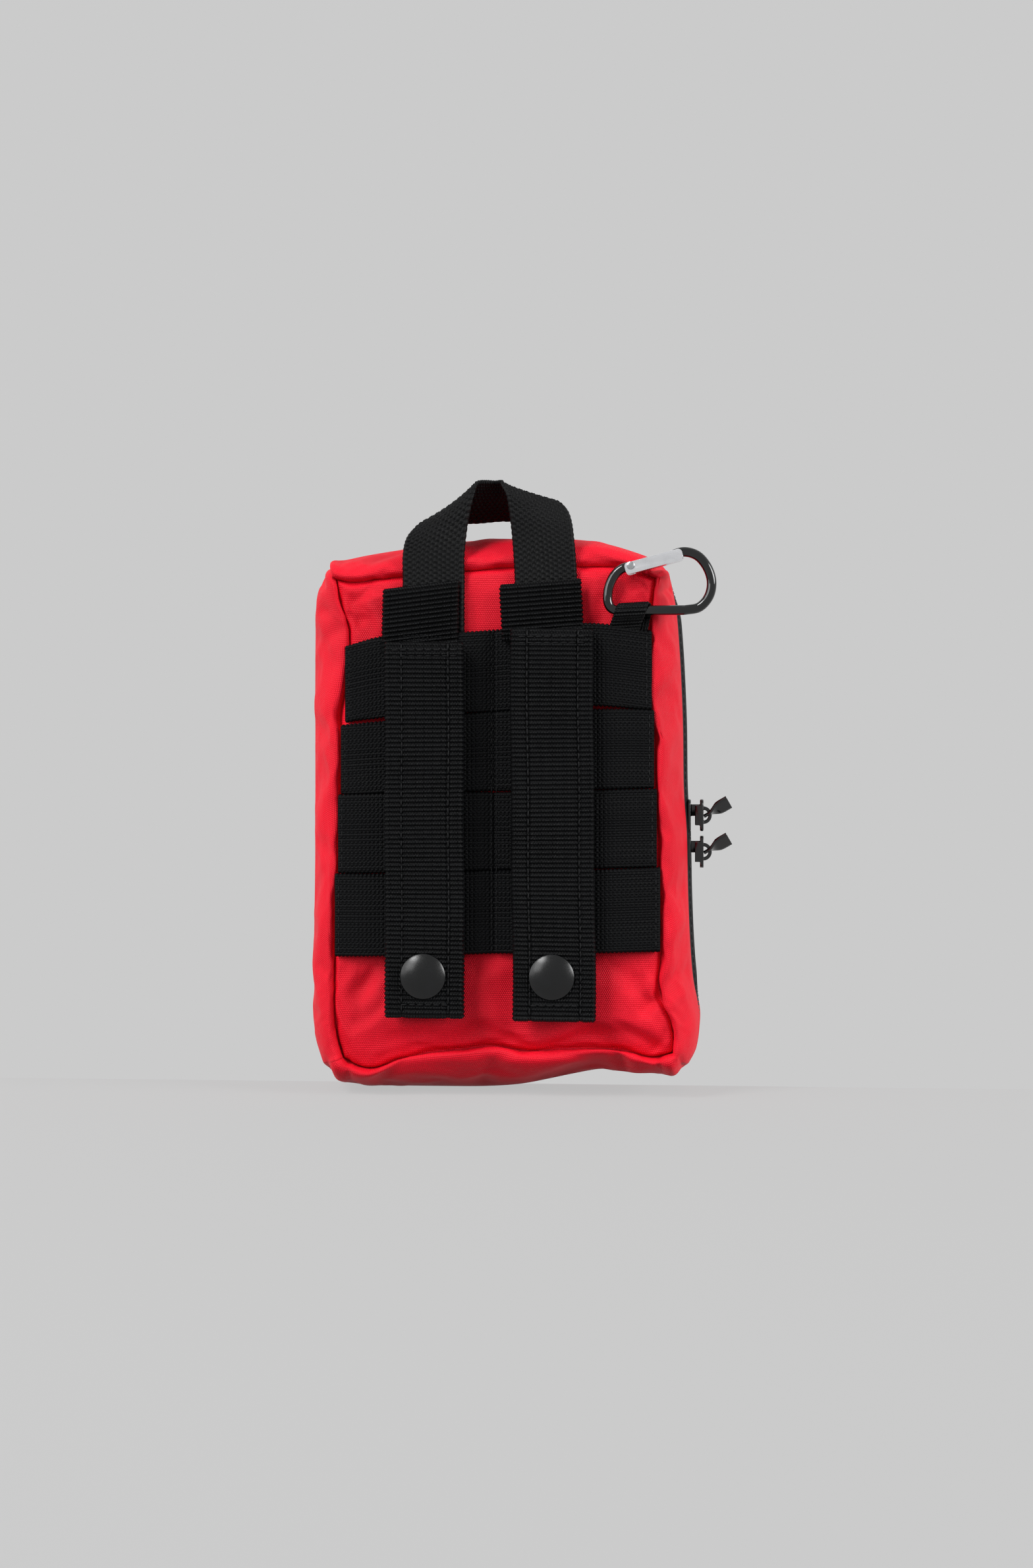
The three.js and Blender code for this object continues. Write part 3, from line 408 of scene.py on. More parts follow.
# The pouch's sewn outlines, seen from the webbing side: [x, z] places, each side from corner to corner
pouch = {
    "seamLow": [(-51.9, 12), (-46, 9.2), (-41.2, 8.8), (-32.3, 11.9), (-22.9, 14), (-11.2, 15.4), (-1.8, 16.4),
                (8.9, 15), (20.3, 15.6), (34, 16), (40.8, 15.4), (50.8, 13.3), (57.6, 14.8)],
    "seamRight": [(57.6, 14.8), (57.9, 20), (56.6, 26), (54.4, 31), (53, 36), (53.5, 48.3), (52.8, 82.5),
                  (51.6, 116), (50.2, 131), (50.6, 155), (51.4, 164), (52.2, 170.4)],
    "seamTop": [(52.2, 170.4), (41.3, 173.8), (26, 174.6), (5.5, 174.3), (-11, 173.3), (-31.5, 171.6),
                (-40, 170.8), (-48.6, 170), (-54.2, 171.2)],
    "seamLeft": [(-54.2, 171.2), (-52.2, 162), (-49.9, 155), (-50.2, 139), (-52.2, 126), (-52, 116),
                 (-52.8, 82.5), (-54, 56), (-54.6, 36.6), (-53.9, 20.2), (-51.9, 12)],
    "rimLow": [(-61.5, 9), (-58.6, 5.4), (-52, 1.6), (-40, 0.7), (-20, 0.5), (-5, 0.7), (6, 1.6), (15, 3.4),
               (25, 5.6), (34, 7.1), (41, 6.1), (50, 5.8), (57, 5.9), (62.4, 9.2)],
    "rimRight": [(62.4, 9.2), (64.8, 14), (66.1, 24), (65.2, 31), (64, 37), (63, 48), (62.2, 66), (61.7, 88),
                 (60.8, 100), (60.4, 125), (59.2, 150), (58, 163), (56, 173)],
    "rimTop": [(56, 173), (54, 176), (50, 178.9), (42.3, 181.9), (33, 184.5), (23.8, 185.7), (12, 186), (-5, 185.8),
               (-20, 184.8), (-34, 182.9), (-48, 180.7), (-57.6, 178.6)],
    "rimLeft": [(-57.6, 178.6), (-61.6, 173), (-64.1, 165.5), (-64.7, 150), (-64.7, 120), (-64.7, 80), (-65, 40),
                (-64.2, 20), (-61.5, 9)],
    "acrossCount": 64, "upCount": 93, "clothThick": 1.0, "foldDepth": 1.25, "deepest": -33.9, "lowest": 0.15,
    # the panel's low end sinks with its seam, its free ends lie closer in, and its middle is sewn to the webbing
    "curl": {"panel": 2.6, "panelZ": (13, 30), "seam": 1.0, "seamZ": (14, 24), "less": 0.3, "wide": 3},
    "loose": {"low": (38, 46), "high": (150, 156), "rise": 0.5, "away": (3, 14)},
    "sewn": {"low": 44, "high": 151, "middle": -5.6, "half": 33, "strapHold": 0.8, "behind": -32.62},
    # the gusset's section, from seam to rim: share of the way out, and depth; rings lie closer beside the seam
    "section": [(0, -29.8), (0.015, -31.4), (0.06, -32.9), (0.15, -33.4), (0.28, -32.8), (0.46, -30.4),
                (0.66, -26.2), (0.82, -20.6), (0.93, -14.6), (1, -9.0)],
    "sectionSteps": 18, "sectionWide": 12, "sectionPower": 1.45,
    # the strip under the zip's lower ends: how high and how far along the rim it starts, and its depth
    "baseTop": 13.9, "baseColumns": 24, "baseSteps": 8, "baseStart": -9, "baseEnd": 8.6,
}
cover = {
    "seamLow": [(-50.4, 11.6), (-40, 9), (0, 9.2), (40, 9), (50.4, 11.6)],
    "seamRight": [(50.4, 11.6), (53, 22), (52.6, 90), (52.6, 150), (53, 162), (50.4, 171.4)],
    "seamTop": [(50.4, 171.4), (40, 173.6), (0, 174), (-40, 173.6), (-50.4, 171.4)],
    "seamLeft": [(-50.4, 171.4), (-53, 162), (-52.6, 150), (-52.6, 90), (-53, 22), (-50.4, 11.6)],
}


def ease(share):
    # closer columns beside the seams, where the cloth turns sharply
    return share - 0.62 * np.sin(2 * math.pi * share) / (2 * math.pi)


def outlineOf(shape, kind):
    # The closed outline, anticlockwise from the low left corner as it is seen from the webbing side.
    fine = 600
    return [through(shape[kind + side], fine)[np.round(fine * ease(np.linspace(0, 1, pouch[count] + 1))).astype(int)]
            for side, count in (("Low", "acrossCount"), ("Right", "upCount"), ("Top", "acrossCount"),
                                ("Left", "upCount"))]


def patch(sides):
    # A sheet stretched over four boundary curves.
    low, right, top, left = sides[0], sides[1], sides[2][::-1], sides[3][::-1]
    u = ease(np.linspace(0, 1, len(low)))[None, :, None]
    v = ease(np.linspace(0, 1, len(right)))[:, None, None]
    ruledUp = (1 - v) * low[None] + v * top[None]
    ruledAcross = (1 - u) * left[:, None] + u * right[:, None]
    corners = ((1 - u) * (1 - v) * low[0] + u * (1 - v) * low[-1] + (1 - u) * v * top[0] + u * v * top[-1])
    return ruledUp + ruledAcross - corners


def shellGrid(shape, sign):
    # One half of the pouch: panel, then gusset rings, then the strip under the base.
    seam, rim = outlineOf(shape, "seam"), outlineOf(pouch, "rim")
    sheet = patch(seam)
    rows, columns = sheet.shape[:2]
    wide, fine = pouch["sectionWide"], 400
    section = evenly(np.array([(share * wide, depth) for share, depth in pouch["section"]]), fine)
    picked = np.linspace(0, 1, pouch["sectionSteps"] + 1) ** pouch["sectionPower"]
    section = section[np.round(fine * picked).astype(int)]
    threads = [tuple(place) for place in sheet.reshape(-1, 2)]
    points = [(x, section[0][1], z) for x, z in threads]
    faces = gridFaces(rows, columns)

    def addRow(places, depth, runs):
        start = len(points)
        points.extend((x, depth, z) for x, z in places)
        threads.extend(runs)
        return list(range(start, len(points)))

    def join(loops, closed):
        for above, below in zip(loops, loops[1:]):
            for k in range(len(above) - (not closed)):
                n = (k + 1) % len(above)
                faces.append((above[n], above[k], below[k], below[n]))

    seamRing, rimRing = (np.concatenate([side[:-1] for side in sides]) for sides in (seam, rim))
    around = lengths(np.vstack([seamRing, seamRing[:1]]))[:-1]
    down = lengths(section)
    rings, base = [borderOf(rows, columns)], []
    for (reach, depth), run in zip(section[1:], down[1:]):
        share = reach / wide
        rings.append(addRow((1 - share) * seamRing + share * rimRing, depth, [(place, run) for place in around]))
    join(rings, True)
    if sign > 0:
        start, extra = pouch["baseStart"], pouch["baseColumns"]
        low = [k for k in range(-extra, pouch["acrossCount"] + extra + 1) if rimRing[k][1] < pouch["baseTop"]]
        base = [[rings[-1][k] for k in low]]
        for step in range(1, pouch["baseSteps"] + 1):
            depth = start + (pouch["baseEnd"] - start) * step / pouch["baseSteps"]
            base.append(addRow(rimRing[low], depth, [(around[k], down[-1] + depth - start) for k in low]))
        join(base, False)
    points = np.array(points) * (1, sign, 1)
    if sign < 0:
        faces = [face[::-1] for face in faces]
    return points, faces, np.array(threads), rows * columns, rings, base


# Creases and pulls of the webbing side, as it is seen: [x, z] start and end, width, and height, below 0 for a valley
backFolds = [
    (-50, 167, -44, 153, 2.4, -0.9), (-44, 167, -37, 152, 3.2, 0.6), (-60.5, 150, -51, 155, 1.5, -0.8),
    (-60, 156, -52, 160, 2.2, 0.5), (-8.5, 167, -7.5, 151, 1.8, -0.6), (1.3, 177, 1.6, 173.6, 0.7, -0.6),
    (-54.6, 170.6, -58.6, 177.6, 1.0, -1.6), (-51, 172.5, -44, 176, 1.4, 0.6), (-30, 176, -5, 179, 2.4, 0.5),
    (28, 178, 50, 172.6, 1.6, -0.7), (30, 181, 52, 175, 2.2, 0.5), (46, 172.5, 57, 176, 1.0, -0.9),
    (-38.9, 40.6, -50, 33.2, 2.8, -0.8), (-36, 34, -50, 26, 3.6, 0.5), (-57.2, 110, -57.4, 26, 0.7, -0.35),
    (-60, 60, -55, 74, 2.2, -0.5), (-62, 86, -56, 104, 2.6, 0.4), (-61, 118, -54, 128, 1.8, -0.6),
    (-2, 14.6, -5, 4.5, 1.3, -1.5), (-5, 13, -9, 5, 2.2, 0.8), (2, 26, 7, 17, 1.5, -1.0),
    (-4, 24, -16, 18, 2.6, -0.5), (8.6, 15, 4.6, 21, 1.2, -0.9), (46, 26.5, 53.6, 35.5, 1.8, -1.0),
    (44, 31, 52, 40, 2.4, 0.6), (46, 27, 58, 16.4, 2.8, 0.8), (42, 23, 54, 15.8, 1.8, -0.7),
    (39.4, 15, 41.4, 7.6, 1.1, -1.5), (43, 14, 47, 8, 2.0, 0.7), (53.5, 36.5, 62.5, 42, 1.5, -0.9),
    (55.5, 30, 63, 36, 2.0, 0.8), (59, 17, 63.5, 29, 1.6, -0.7), (54, 50, 62, 60, 1.8, 0.6),
    (53.5, 66, 61, 72, 1.4, -0.6), (52, 92, 61, 104, 2.0, 0.5), (51, 116, 60, 126, 1.6, -0.8),
    (50, 132, 59, 144, 2.0, 0.6), (50.6, 150, 59, 160, 1.5, -0.7), (22, 24, 38, 20, 3.2, -0.5),
    (-26, 19, -40, 14, 2.2, 0.5), (12, 11, 30, 12, 2.4, 0.5), (-40, 6.4, -20, 8, 2.6, 0.5),
    (-54, 12, -52.6, 3, 2.1, 1.3), (-50.4, 12, -49.6, 3, 0.8, -0.9), (-57.6, 12, -57, 4, 0.9, -0.9),
    (56.4, 13.5, 57.2, 6.5, 2.0, 1.3), (53.2, 13.5, 53.4, 6.5, 0.8, -0.9), (60, 14, 61, 8, 0.8, -0.8),
    (-54, 171.4, -57, 178, 2.2, 1.0), (-58.5, 168, -61.5, 173, 1.3, -1.0), (52.8, 171.5, 55.6, 172.6, 1.6, 1.0),
    (53.6, 165, 57.5, 169, 1.2, -1.0),
]


def pressFolds(points, normals, folds, weight):
    past, fade = 0.25, (0.2, 0.72)
    for x0, z0, x1, z1, width, height in folds:
        start, end = np.array([x0, z0]), np.array([x1, z1])
        along = end - start
        flat = points[:, [0, 2]] - start
        share = np.clip(flat @ along / (along @ along), -past, 1 + past)
        away = np.linalg.norm(flat - share[:, None] * along, axis=1)
        taper = 1 - smoothStep(np.abs(share - 0.5), *fade)
        push = pouch["foldDepth"] * height * np.exp(-(away / width) ** 2) * taper * weight
        points += normals * push[:, None]
    return points


# The cloth simulation: spare is the extra cloth as a share, cap the largest move in millimetres
swell = {"quality": 6, "mass": 0.25, "stiffness": 12, "bending": 1.2, "pressure": 1.2, "spare": 0.014, "frames": 16,
         "cap": 1.3}
# How the fabric turns at its seams, how much the ring beside them is held, and the sizes of its two crumples
fabric = {"seamWide": 0.8, "seamCrease": 0.9, "besideSeam": 0.35, "seamFolds": 0.6, "heldBelow": 1.6,
          "crumpleSize": 17, "crumpleScale": (1, 1, 0.6), "fineSize": 6.5, "fineShare": 0.35}


def puff(piece, held):
    # Air pressure and a little spare cloth, with the seams held, give the pouch its own puckers.
    start = placesOf(piece)
    group = piece.vertex_groups.new(name="held")
    held = np.round(held, 2)
    for weight in sorted(set(held[held > 0])):
        group.add([int(i) for i in np.nonzero(held == weight)[0]], float(weight), "REPLACE")
    cloth = piece.modifiers.new("cloth", "CLOTH")
    for key, value in {
            "quality": swell["quality"], "mass": swell["mass"], "tension_stiffness": swell["stiffness"],
            "compression_stiffness": swell["stiffness"], "shear_stiffness": swell["stiffness"] / 3,
            "bending_stiffness": swell["bending"], "use_pressure": True, "uniform_pressure_force": swell["pressure"],
            "shrink_min": -swell["spare"], "vertex_group_mass": "held", "pin_stiffness": 1.0}.items():
        setattr(cloth.settings, key, value)
    cloth.settings.effector_weights.gravity = 0
    cloth.collision_settings.use_collision = False
    cloth.collision_settings.use_self_collision = False
    cloth.point_cache.frame_start, cloth.point_cache.frame_end = 1, swell["frames"]
    for number in range(1, swell["frames"] + 1):
        bpy.context.scene.frame_set(number)
    settle(piece)
    moved = placesOf(piece) - start
    moved *= np.minimum(1, swell["cap"] / np.maximum(np.linalg.norm(moved, axis=1), 1e-6))[:, None]
    setPlaces(piece, start + moved)
    bpy.context.scene.frame_set(1)


def shellOf(name, shape, sign, folds, body, node, look):
    points, faces, threads, panelCount, rings, base = shellGrid(shape, sign)
    ring = rings[0]
    panel = np.arange(len(points)) < panelCount
    inRing = np.isin(np.arange(len(points)), ring)
    # the panel stands a little proud of its sunken seam, and curls back toward the bottom seam
    flat = points[:, [0, 2]]
    away = np.full(len(points), 99.0)
    away[:panelCount] = [np.min(np.linalg.norm(flat[ring] - place, axis=1)) for place in flat[:panelCount]]
    away[ring] = 0
    rise = np.where(panel, look["panelRise"] * (1 - np.exp(-away / fabric["seamWide"])), 0)
    low = points[:, 2]
    if sign > 0:
        curl, loose, sewn = pouch["curl"], pouch["loose"], pouch["sewn"]
        sunk = curl["panel"] * (1 - smoothStep(low, *curl["panelZ"])) * panel
        opened = (1 - smoothStep(low, *loose["low"])) + smoothStep(low, *loose["high"])
        points[:, 1] += -rise + np.where(panel, sunk * (1 - curl["less"] * np.exp(-away / curl["wide"])), 0)
        points[ring, 1] += (curl["seam"] * (1 - smoothStep(low, *curl["seamZ"])))[ring]
        points[:, 1] -= panel * opened * loose["rise"] * smoothStep(away, *loose["away"])
    else:
        points[:, 1] += rise
    piece = makeMesh(name, points, faces, redOxford, threads)
    ends = np.zeros(2 * len(piece.data.edges), np.int32)
    piece.data.edges.foreach_get("vertices", ends)
    sharp = piece.data.attributes.new("crease_edge", "FLOAT", "EDGE")
    alongSeam = inRing[ends].reshape(-1, 2).all(axis=1)
    sharp.data.foreach_set("value", (fabric["seamCrease"] * alongSeam).astype(np.float32))
    held = np.zeros(len(points))
    held[ring] = 1
    held[rings[1]] = fabric["besideSeam"]
    for loop in rings[-3:] + base:
        held[loop] = 1
    if sign > 0:
        held[panel & (low > sewn["low"]) & (low < sewn["high"])] = 1
        nearStraps = np.abs(points[:, 0] - sewn["middle"]) < sewn["half"]
        held[panel & (low >= sewn["high"]) & nearStraps] = sewn["strapHold"]
    held[np.abs(low) < fabric["heldBelow"]] = 1
    puff(piece, held)
    places = placesOf(piece)
    crumple = smoothNoise(places * fabric["crumpleScale"], fabric["crumpleSize"], look["seed"]) * look["crumple"]
    fine = smoothNoise(places, fabric["fineSize"], look["seed"] + 1) * look["crumple"] * fabric["fineShare"]
    places += readVertices(piece, "normal") * ((crumple + fine) * ~inRing * np.clip(1 - held, 0, 1))[:, None]
    setPlaces(piece, places)
    pinned = np.isin(np.arange(len(points)), sum([list(loop) for loop in rings[-2:] + base], []))
    weight = np.where(pinned, 0.0, 1.0) * np.where(inRing, fabric["seamFolds"], 1.0)
    places = pressFolds(places, readVertices(piece, "normal"), folds, weight)
    if sign > 0:
        # what lies under the belt webbing stays behind it
        flush = panel & (places[:, 2] > sewn["low"] - 1) & (places[:, 2] < sewn["high"])
        places[flush, 1] = np.maximum(places[flush, 1], sewn["behind"])
        places[panel, 1] = np.maximum(places[panel, 1], pouch["deepest"])
    places[:, 2] = np.maximum(places[:, 2], pouch["lowest"])
    setPlaces(piece, places)
    smoother = piece.modifiers.new("round", "SUBSURF")
    smoother.levels = smoother.render_levels = 1
    wear(thicken(piece, pouch["clothThick"], -1), "red_fabric", body, node)


shellOf("back_fabric", pouch, 1, backFolds, "pouch", "back_shell", {"seed": 3, "crumple": 0.12, "panelRise": 2.8})
coverFolds = [(-30, 40, 20, 22, 5, 0.6), (35, 60, 52, 40, 4, -0.6), (-52, 120, -36, 140, 4, 0.6),
              (-20, 170, 10, 160, 4, -0.5), (40, 150, 52, 128, 3, 0.6), (-56, 60, -60, 90, 2.4, -0.5)]
shellOf("cover_fabric", cover, -1, coverFolds, "cover", "front_shell", {"seed": 11, "crumple": 0.2, "panelRise": 2.7})
print("pouch shells made")


def stepGroup(name, sockets):
    # A Geometry Nodes tree with named inputs, its given values, and its output's socket.
    tree = bpy.data.node_groups.new(name, "GeometryNodeTree")
    tree.interface.new_socket("Geometry", in_out="OUTPUT", socket_type="NodeSocketGeometry")
    for socket, kind in {"Geometry": "Geometry", **sockets}.items():
        tree.interface.new_socket(socket, in_out="INPUT", socket_type="NodeSocket" + kind)
    return tree, tree.nodes.new("NodeGroupInput").outputs, tree.nodes.new("NodeGroupOutput").inputs[0]


def runGroup(piece, tree, values):
    step = piece.modifiers.new(tree.name, "NODES")
    step.node_group = tree
    names = {item.name: item.identifier for item in tree.interface.items_tree if item.in_out == "INPUT"}
    for key, value in values.items():
        step[names[key]] = value
    return settle(piece)


def makeReliefGroup():
    # Raises the yarns of a webbing along its normals: ribs across it, beads along each rib, every other one moved.
    tree, given, done = stepGroup("webbing relief", {
        "Rib Pitch": "Float", "Rib Height": "Float", "Bead Width": "Float", "Bead Share": "Float",
        "Stagger": "Float", "Webbing": "Material"})
    thread = addNode(tree, "GeometryNodeInputNamedAttribute", {"Name": "thread"}, data_type="FLOAT_VECTOR")
    across, along, weight = addNode(tree, "ShaderNodeSeparateXYZ", (thread,)).outputs[:]
    beads = addNode(tree, "ShaderNodeMath", (across, given["Bead Width"]), operation="DIVIDE")
    column = addNode(tree, "ShaderNodeMath", (beads,), operation="FLOOR")
    move = addNode(tree, "ShaderNodeMath", (column, given["Stagger"]), operation="MULTIPLY")
    rows = addNode(tree, "ShaderNodeMath", (along, given["Rib Pitch"]), operation="DIVIDE")
    ribs = addNode(tree, "ShaderNodeMath", (rows, move), operation="ADD")
    flat = addNode(tree, "ShaderNodeMath", (1.0, given["Bead Share"]), operation="SUBTRACT")
    bead = addNode(tree, "ShaderNodeMath", (humps(tree, beads, math.pi), given["Bead Share"], flat),
                   operation="MULTIPLY_ADD")
    height = addNode(tree, "ShaderNodeMath", (humps(tree, ribs, math.pi), bead), operation="MULTIPLY")
    level = addNode(tree, "ShaderNodeMath", (height, 0.5), operation="SUBTRACT")
    reach = addNode(tree, "ShaderNodeMath", (given["Rib Height"], weight), operation="MULTIPLY")
    lift = addNode(tree, "ShaderNodeMath", (level, reach), operation="MULTIPLY")
    normal = addNode(tree, "GeometryNodeInputNormal")
    offset = addNode(tree, "ShaderNodeVectorMath", {0: normal, 3: lift}, operation="SCALE")
    moved = addNode(tree, "GeometryNodeSetPosition", {"Geometry": given["Geometry"], "Offset": offset})
    dyed = addNode(tree, "GeometryNodeSetMaterial", {"Geometry": moved, "Material": given["Webbing"]})
    tree.links.new(dyed.outputs[0], done)
    return tree


def makeSeedGroup():
    # Sets a rounded grain, such as a stitch or a zip tooth, on each point, along its "way" and standing on its "up".
    tree, given, done = stepGroup("sewn or moulded grains", {"Size": "Vector", "Finish": "Material"})
    way, up = (addNode(tree, "GeometryNodeInputNamedAttribute", {"Name": name}, data_type="FLOAT_VECTOR")
               for name in ("way", "up"))
    turn = addNode(tree, "FunctionNodeAxesToRotation", (way, up), primary_axis="X", secondary_axis="Z")
    grain = addNode(tree, "GeometryNodeMeshUVSphere", {"Segments": 8, "Rings": 6, "Radius": 0.5})
    cloud = addNode(tree, "GeometryNodeMeshToPoints", {"Mesh": given["Geometry"]})
    placed = addNode(tree, "GeometryNodeInstanceOnPoints", {
        "Points": cloud, "Instance": grain, "Rotation": turn, "Scale": given["Size"]})
    real = addNode(tree, "GeometryNodeRealizeInstances", (placed,))
    smooth = addNode(tree, "GeometryNodeSetShadeSmooth", {"Geometry": real})
    dyed = addNode(tree, "GeometryNodeSetMaterial", {"Geometry": smooth, "Material": given["Finish"]})
    tree.links.new(dyed.outputs[0], done)
    return tree


reliefGroup, seedGroup = makeReliefGroup(), makeSeedGroup()


def grains(name, places, ways, ups, size, finish):
    piece = makeMesh(name, places, [], finish, smooth=False)
    setVectors(piece, "way", ways)
    setVectors(piece, "up", ups)
    return runGroup(piece, seedGroup, {"Size": [s * mm for s in size], "Finish": finish})


def stitches(name, lines, stitch, slot, body):
    # Lines are (points, up) pairs in millimetres; one stitch lies in the middle of each step.
    places, ways, ups = [], [], []
    for points, up in lines:
        points = np.asarray(points, float)
        count = max(1, round(lengths(points)[-1] / stitch["pitch"]))
        path = evenly(points, 2 * count)
        places.append(path[1::2])
        ways.append(tangents(path)[1::2])
        ups.append(np.broadcast_to(unit(up), (count, 3)))
    piece = grains(name, np.vstack(places), np.vstack(ways), np.vstack(ups), stitch["size"], blackThread)
    return wear(piece, slot, body)


def strip(name, spine, sides, width, thick, material, columns, dents=()):
    # A webbing with rounded selvedges swept along a spine. Dents are grooves, as (place across, depth) pairs.
    spine, sides = np.asarray(spine, float), unit(np.broadcast_to(sides, np.shape(spine)))
    wide = np.broadcast_to(width, len(spine)).astype(float)
    up = unit(np.cross(tangents(spine), sides))
    along = lengths(spine)
    half, selvedge, dentWide, fade = thick / 2, 1.1, 0.7, 0.6
    flat = [(u, 1.0) for u in np.linspace(-0.5, 0.5, columns + 1)]
    around = flat + [(0.5, 0.0)] + [(u, -h) for u, h in flat[::-1]] + [(-0.5, 0.0)]
    points, threads = [], []
    for k in range(len(spine)):
        weight = min(1, min(along[k], along[-1] - along[k]) / fade)
        inner = wide[k] - selvedge * half
        for u, h in around:
            edge = 0.0 if h else math.copysign(half, u) * selvedge
            dent = sum(depth * math.exp(-((u * wide[k] - at) / dentWide) ** 2) for at, depth in dents) if h else 0
            points.append(spine[k] + sides[k] * (u * inner + edge) + up[k] * h * (half - dent))
            threads.append((u * wide[k], along[k], weight))
    return faceOut(makeMesh(name, points, tubeFaces(len(spine), len(around)), material, threads))


def webbing(name, spine, sides, width, thick, columns, look, dents=()):
    piece = strip(name, spine, sides, width, thick, look["material"], columns, dents)
    return runGroup(piece, reliefGroup, {
        "Rib Pitch": look["ribPitch"] * mm, "Rib Height": look["ribHeight"] * mm, "Bead Width": look["beadWidth"] * mm,
        "Bead Share": look["beadShare"], "Stagger": look["stagger"], "Webbing": look["material"]})


# Four rows of 25 mm belt webbing: each one's long edges as [x, z] places
webbingRows = [
    {"high": [(-50, 148.4), (-37.7, 151.3), (-10.5, 152.6), (0.4, 153.4), (30.5, 155.2), (50.4, 152.9)],
     "low": [(-50.4, 123.6), (-36, 125.4), (-1, 127.2), (32, 128.9), (50.4, 127.4)]},
    {"high": [(-51.5, 122.2), (-36, 123.7), (-1, 126.6), (32, 127.2), (44, 127.3), (51.1, 127)],
     "low": [(-51.8, 99.9), (-1, 101), (51.3, 101.9)]},
    {"high": [(-52.3, 99.4), (-12, 100.3), (2, 100.2), (51.9, 101.4)],
     "low": [(-52.8, 73.8), (-1, 75), (52.2, 76.1)]},
    {"high": [(-53.4, 73.3), (-38, 73.3), (-1, 74.6), (30, 74.8), (53, 75.8)],
     "low": [(-53.9, 46.4), (-1, 47.7), (53.4, 48.6)]},
]
rowShape = {"sewnY": -33.35, "bulge": 3.0, "thick": 1.1, "middle": -1.0, "steps": 420, "columns": 84,
            "endSeams": (1.4, 2.6), "middleSeams": (-1.8, -0.2), "middleZ": (47.6, 152.6),
            "stitch": {"pitch": 2.6, "size": (2.2, 0.5, 0.5)}}
rowLook = {"ribPitch": 1.4, "ribHeight": 0.45, "beadWidth": 0.9, "beadShare": 0.5, "stagger": 0.5,
           "material": rowWebbing}
front = (0, -1, 0)


def makeRow(number, edges):
    high, low = (evenly(through(edges[key], 200), rowShape["steps"]) for key in ("high", "low"))
    across = (high[:, 0] + low[:, 0]) / 2
    middle = rowShape["middle"]
    share = np.where(across < middle, (across - across[0]) / (middle - across[0]),
                     (across - middle) / (across[-1] - middle))
    lift = np.clip(np.sin(math.pi * np.clip(share, 0, 1)), 0, 1) ** 0.75
    spine = np.stack([across, rowShape["sewnY"] - rowShape["bulge"] * lift, (high[:, 1] + low[:, 1]) / 2], axis=1)
    row = webbing(f"belt_webbing_{number}", spine, (0, 0, 1), high[:, 1] - low[:, 1], rowShape["thick"],
                  rowShape["columns"], rowLook)
    wear(row, "black_webbing", "pouch", f"webbing_row_{number}")


rowSeams = []
for number, edges in enumerate(webbingRows):
    makeRow(number + 1, edges)
    for end, sign in ((0, 1), (-1, -1)):
        for inset in rowShape["endSeams"]:
            x, y = edges["low"][end][0] + sign * inset, rowShape["sewnY"] - 0.95
            rowSeams.append(([(x, y, edges["low"][end][1] + 1), (x, y, edges["high"][end][1] - 1)], front))
rowSeams += [([(x, rowShape["sewnY"] - 0.8, z) for z in rowShape["middleZ"]], front) for x in rowShape["middleSeams"]]
stitches("row_stitching", rowSeams, rowShape["stitch"], "black_webbing", "pouch")
print("belt webbing made")

# Snap straps: one webbing each, doubled over a stiffener and folded round at the low end
snapStraps = {
    "left": {"x": [-23.4, -23.3], "top": 149.2, "bottom": 26.6, "width": 25.2, "wander": 1,
             "pivot": (-0.0237, -0.0389, 0.1515)},
    "right": {"x": [18.3, 19.1], "top": 153.4, "bottom": 25.8, "width": 26.4, "wander": 3,
              "pivot": (0.0184, -0.0389, 0.153)},
}
strapShape = {"fold": 1.15, "frontY": -40.05, "middleY": -38.9, "backY": -37.75, "thick": 1.1, "steps": 770,
              "columns": 62, "seams": (5.2, -4.6), "dent": 0.32, "proud": 0.55, "snapZ": 40.4,
              "boxSeam": {"half": 8, "y": -40.75, "below": 9.3},
              "topSeam": {"half": 11, "y": -40.6, "falls": (2.4, 4.4)},
              "drift": (0.11, 0.12), "lean": (0.06, 0.012), "stitch": {"pitch": 2.7, "size": (2.2, 0.5, 0.4)}}
strapLook = {"ribPitch": 1.5, "ribHeight": 0.6, "beadWidth": 0.95, "beadShare": 0.45, "stagger": 0.0,
             "material": blackWebbing}


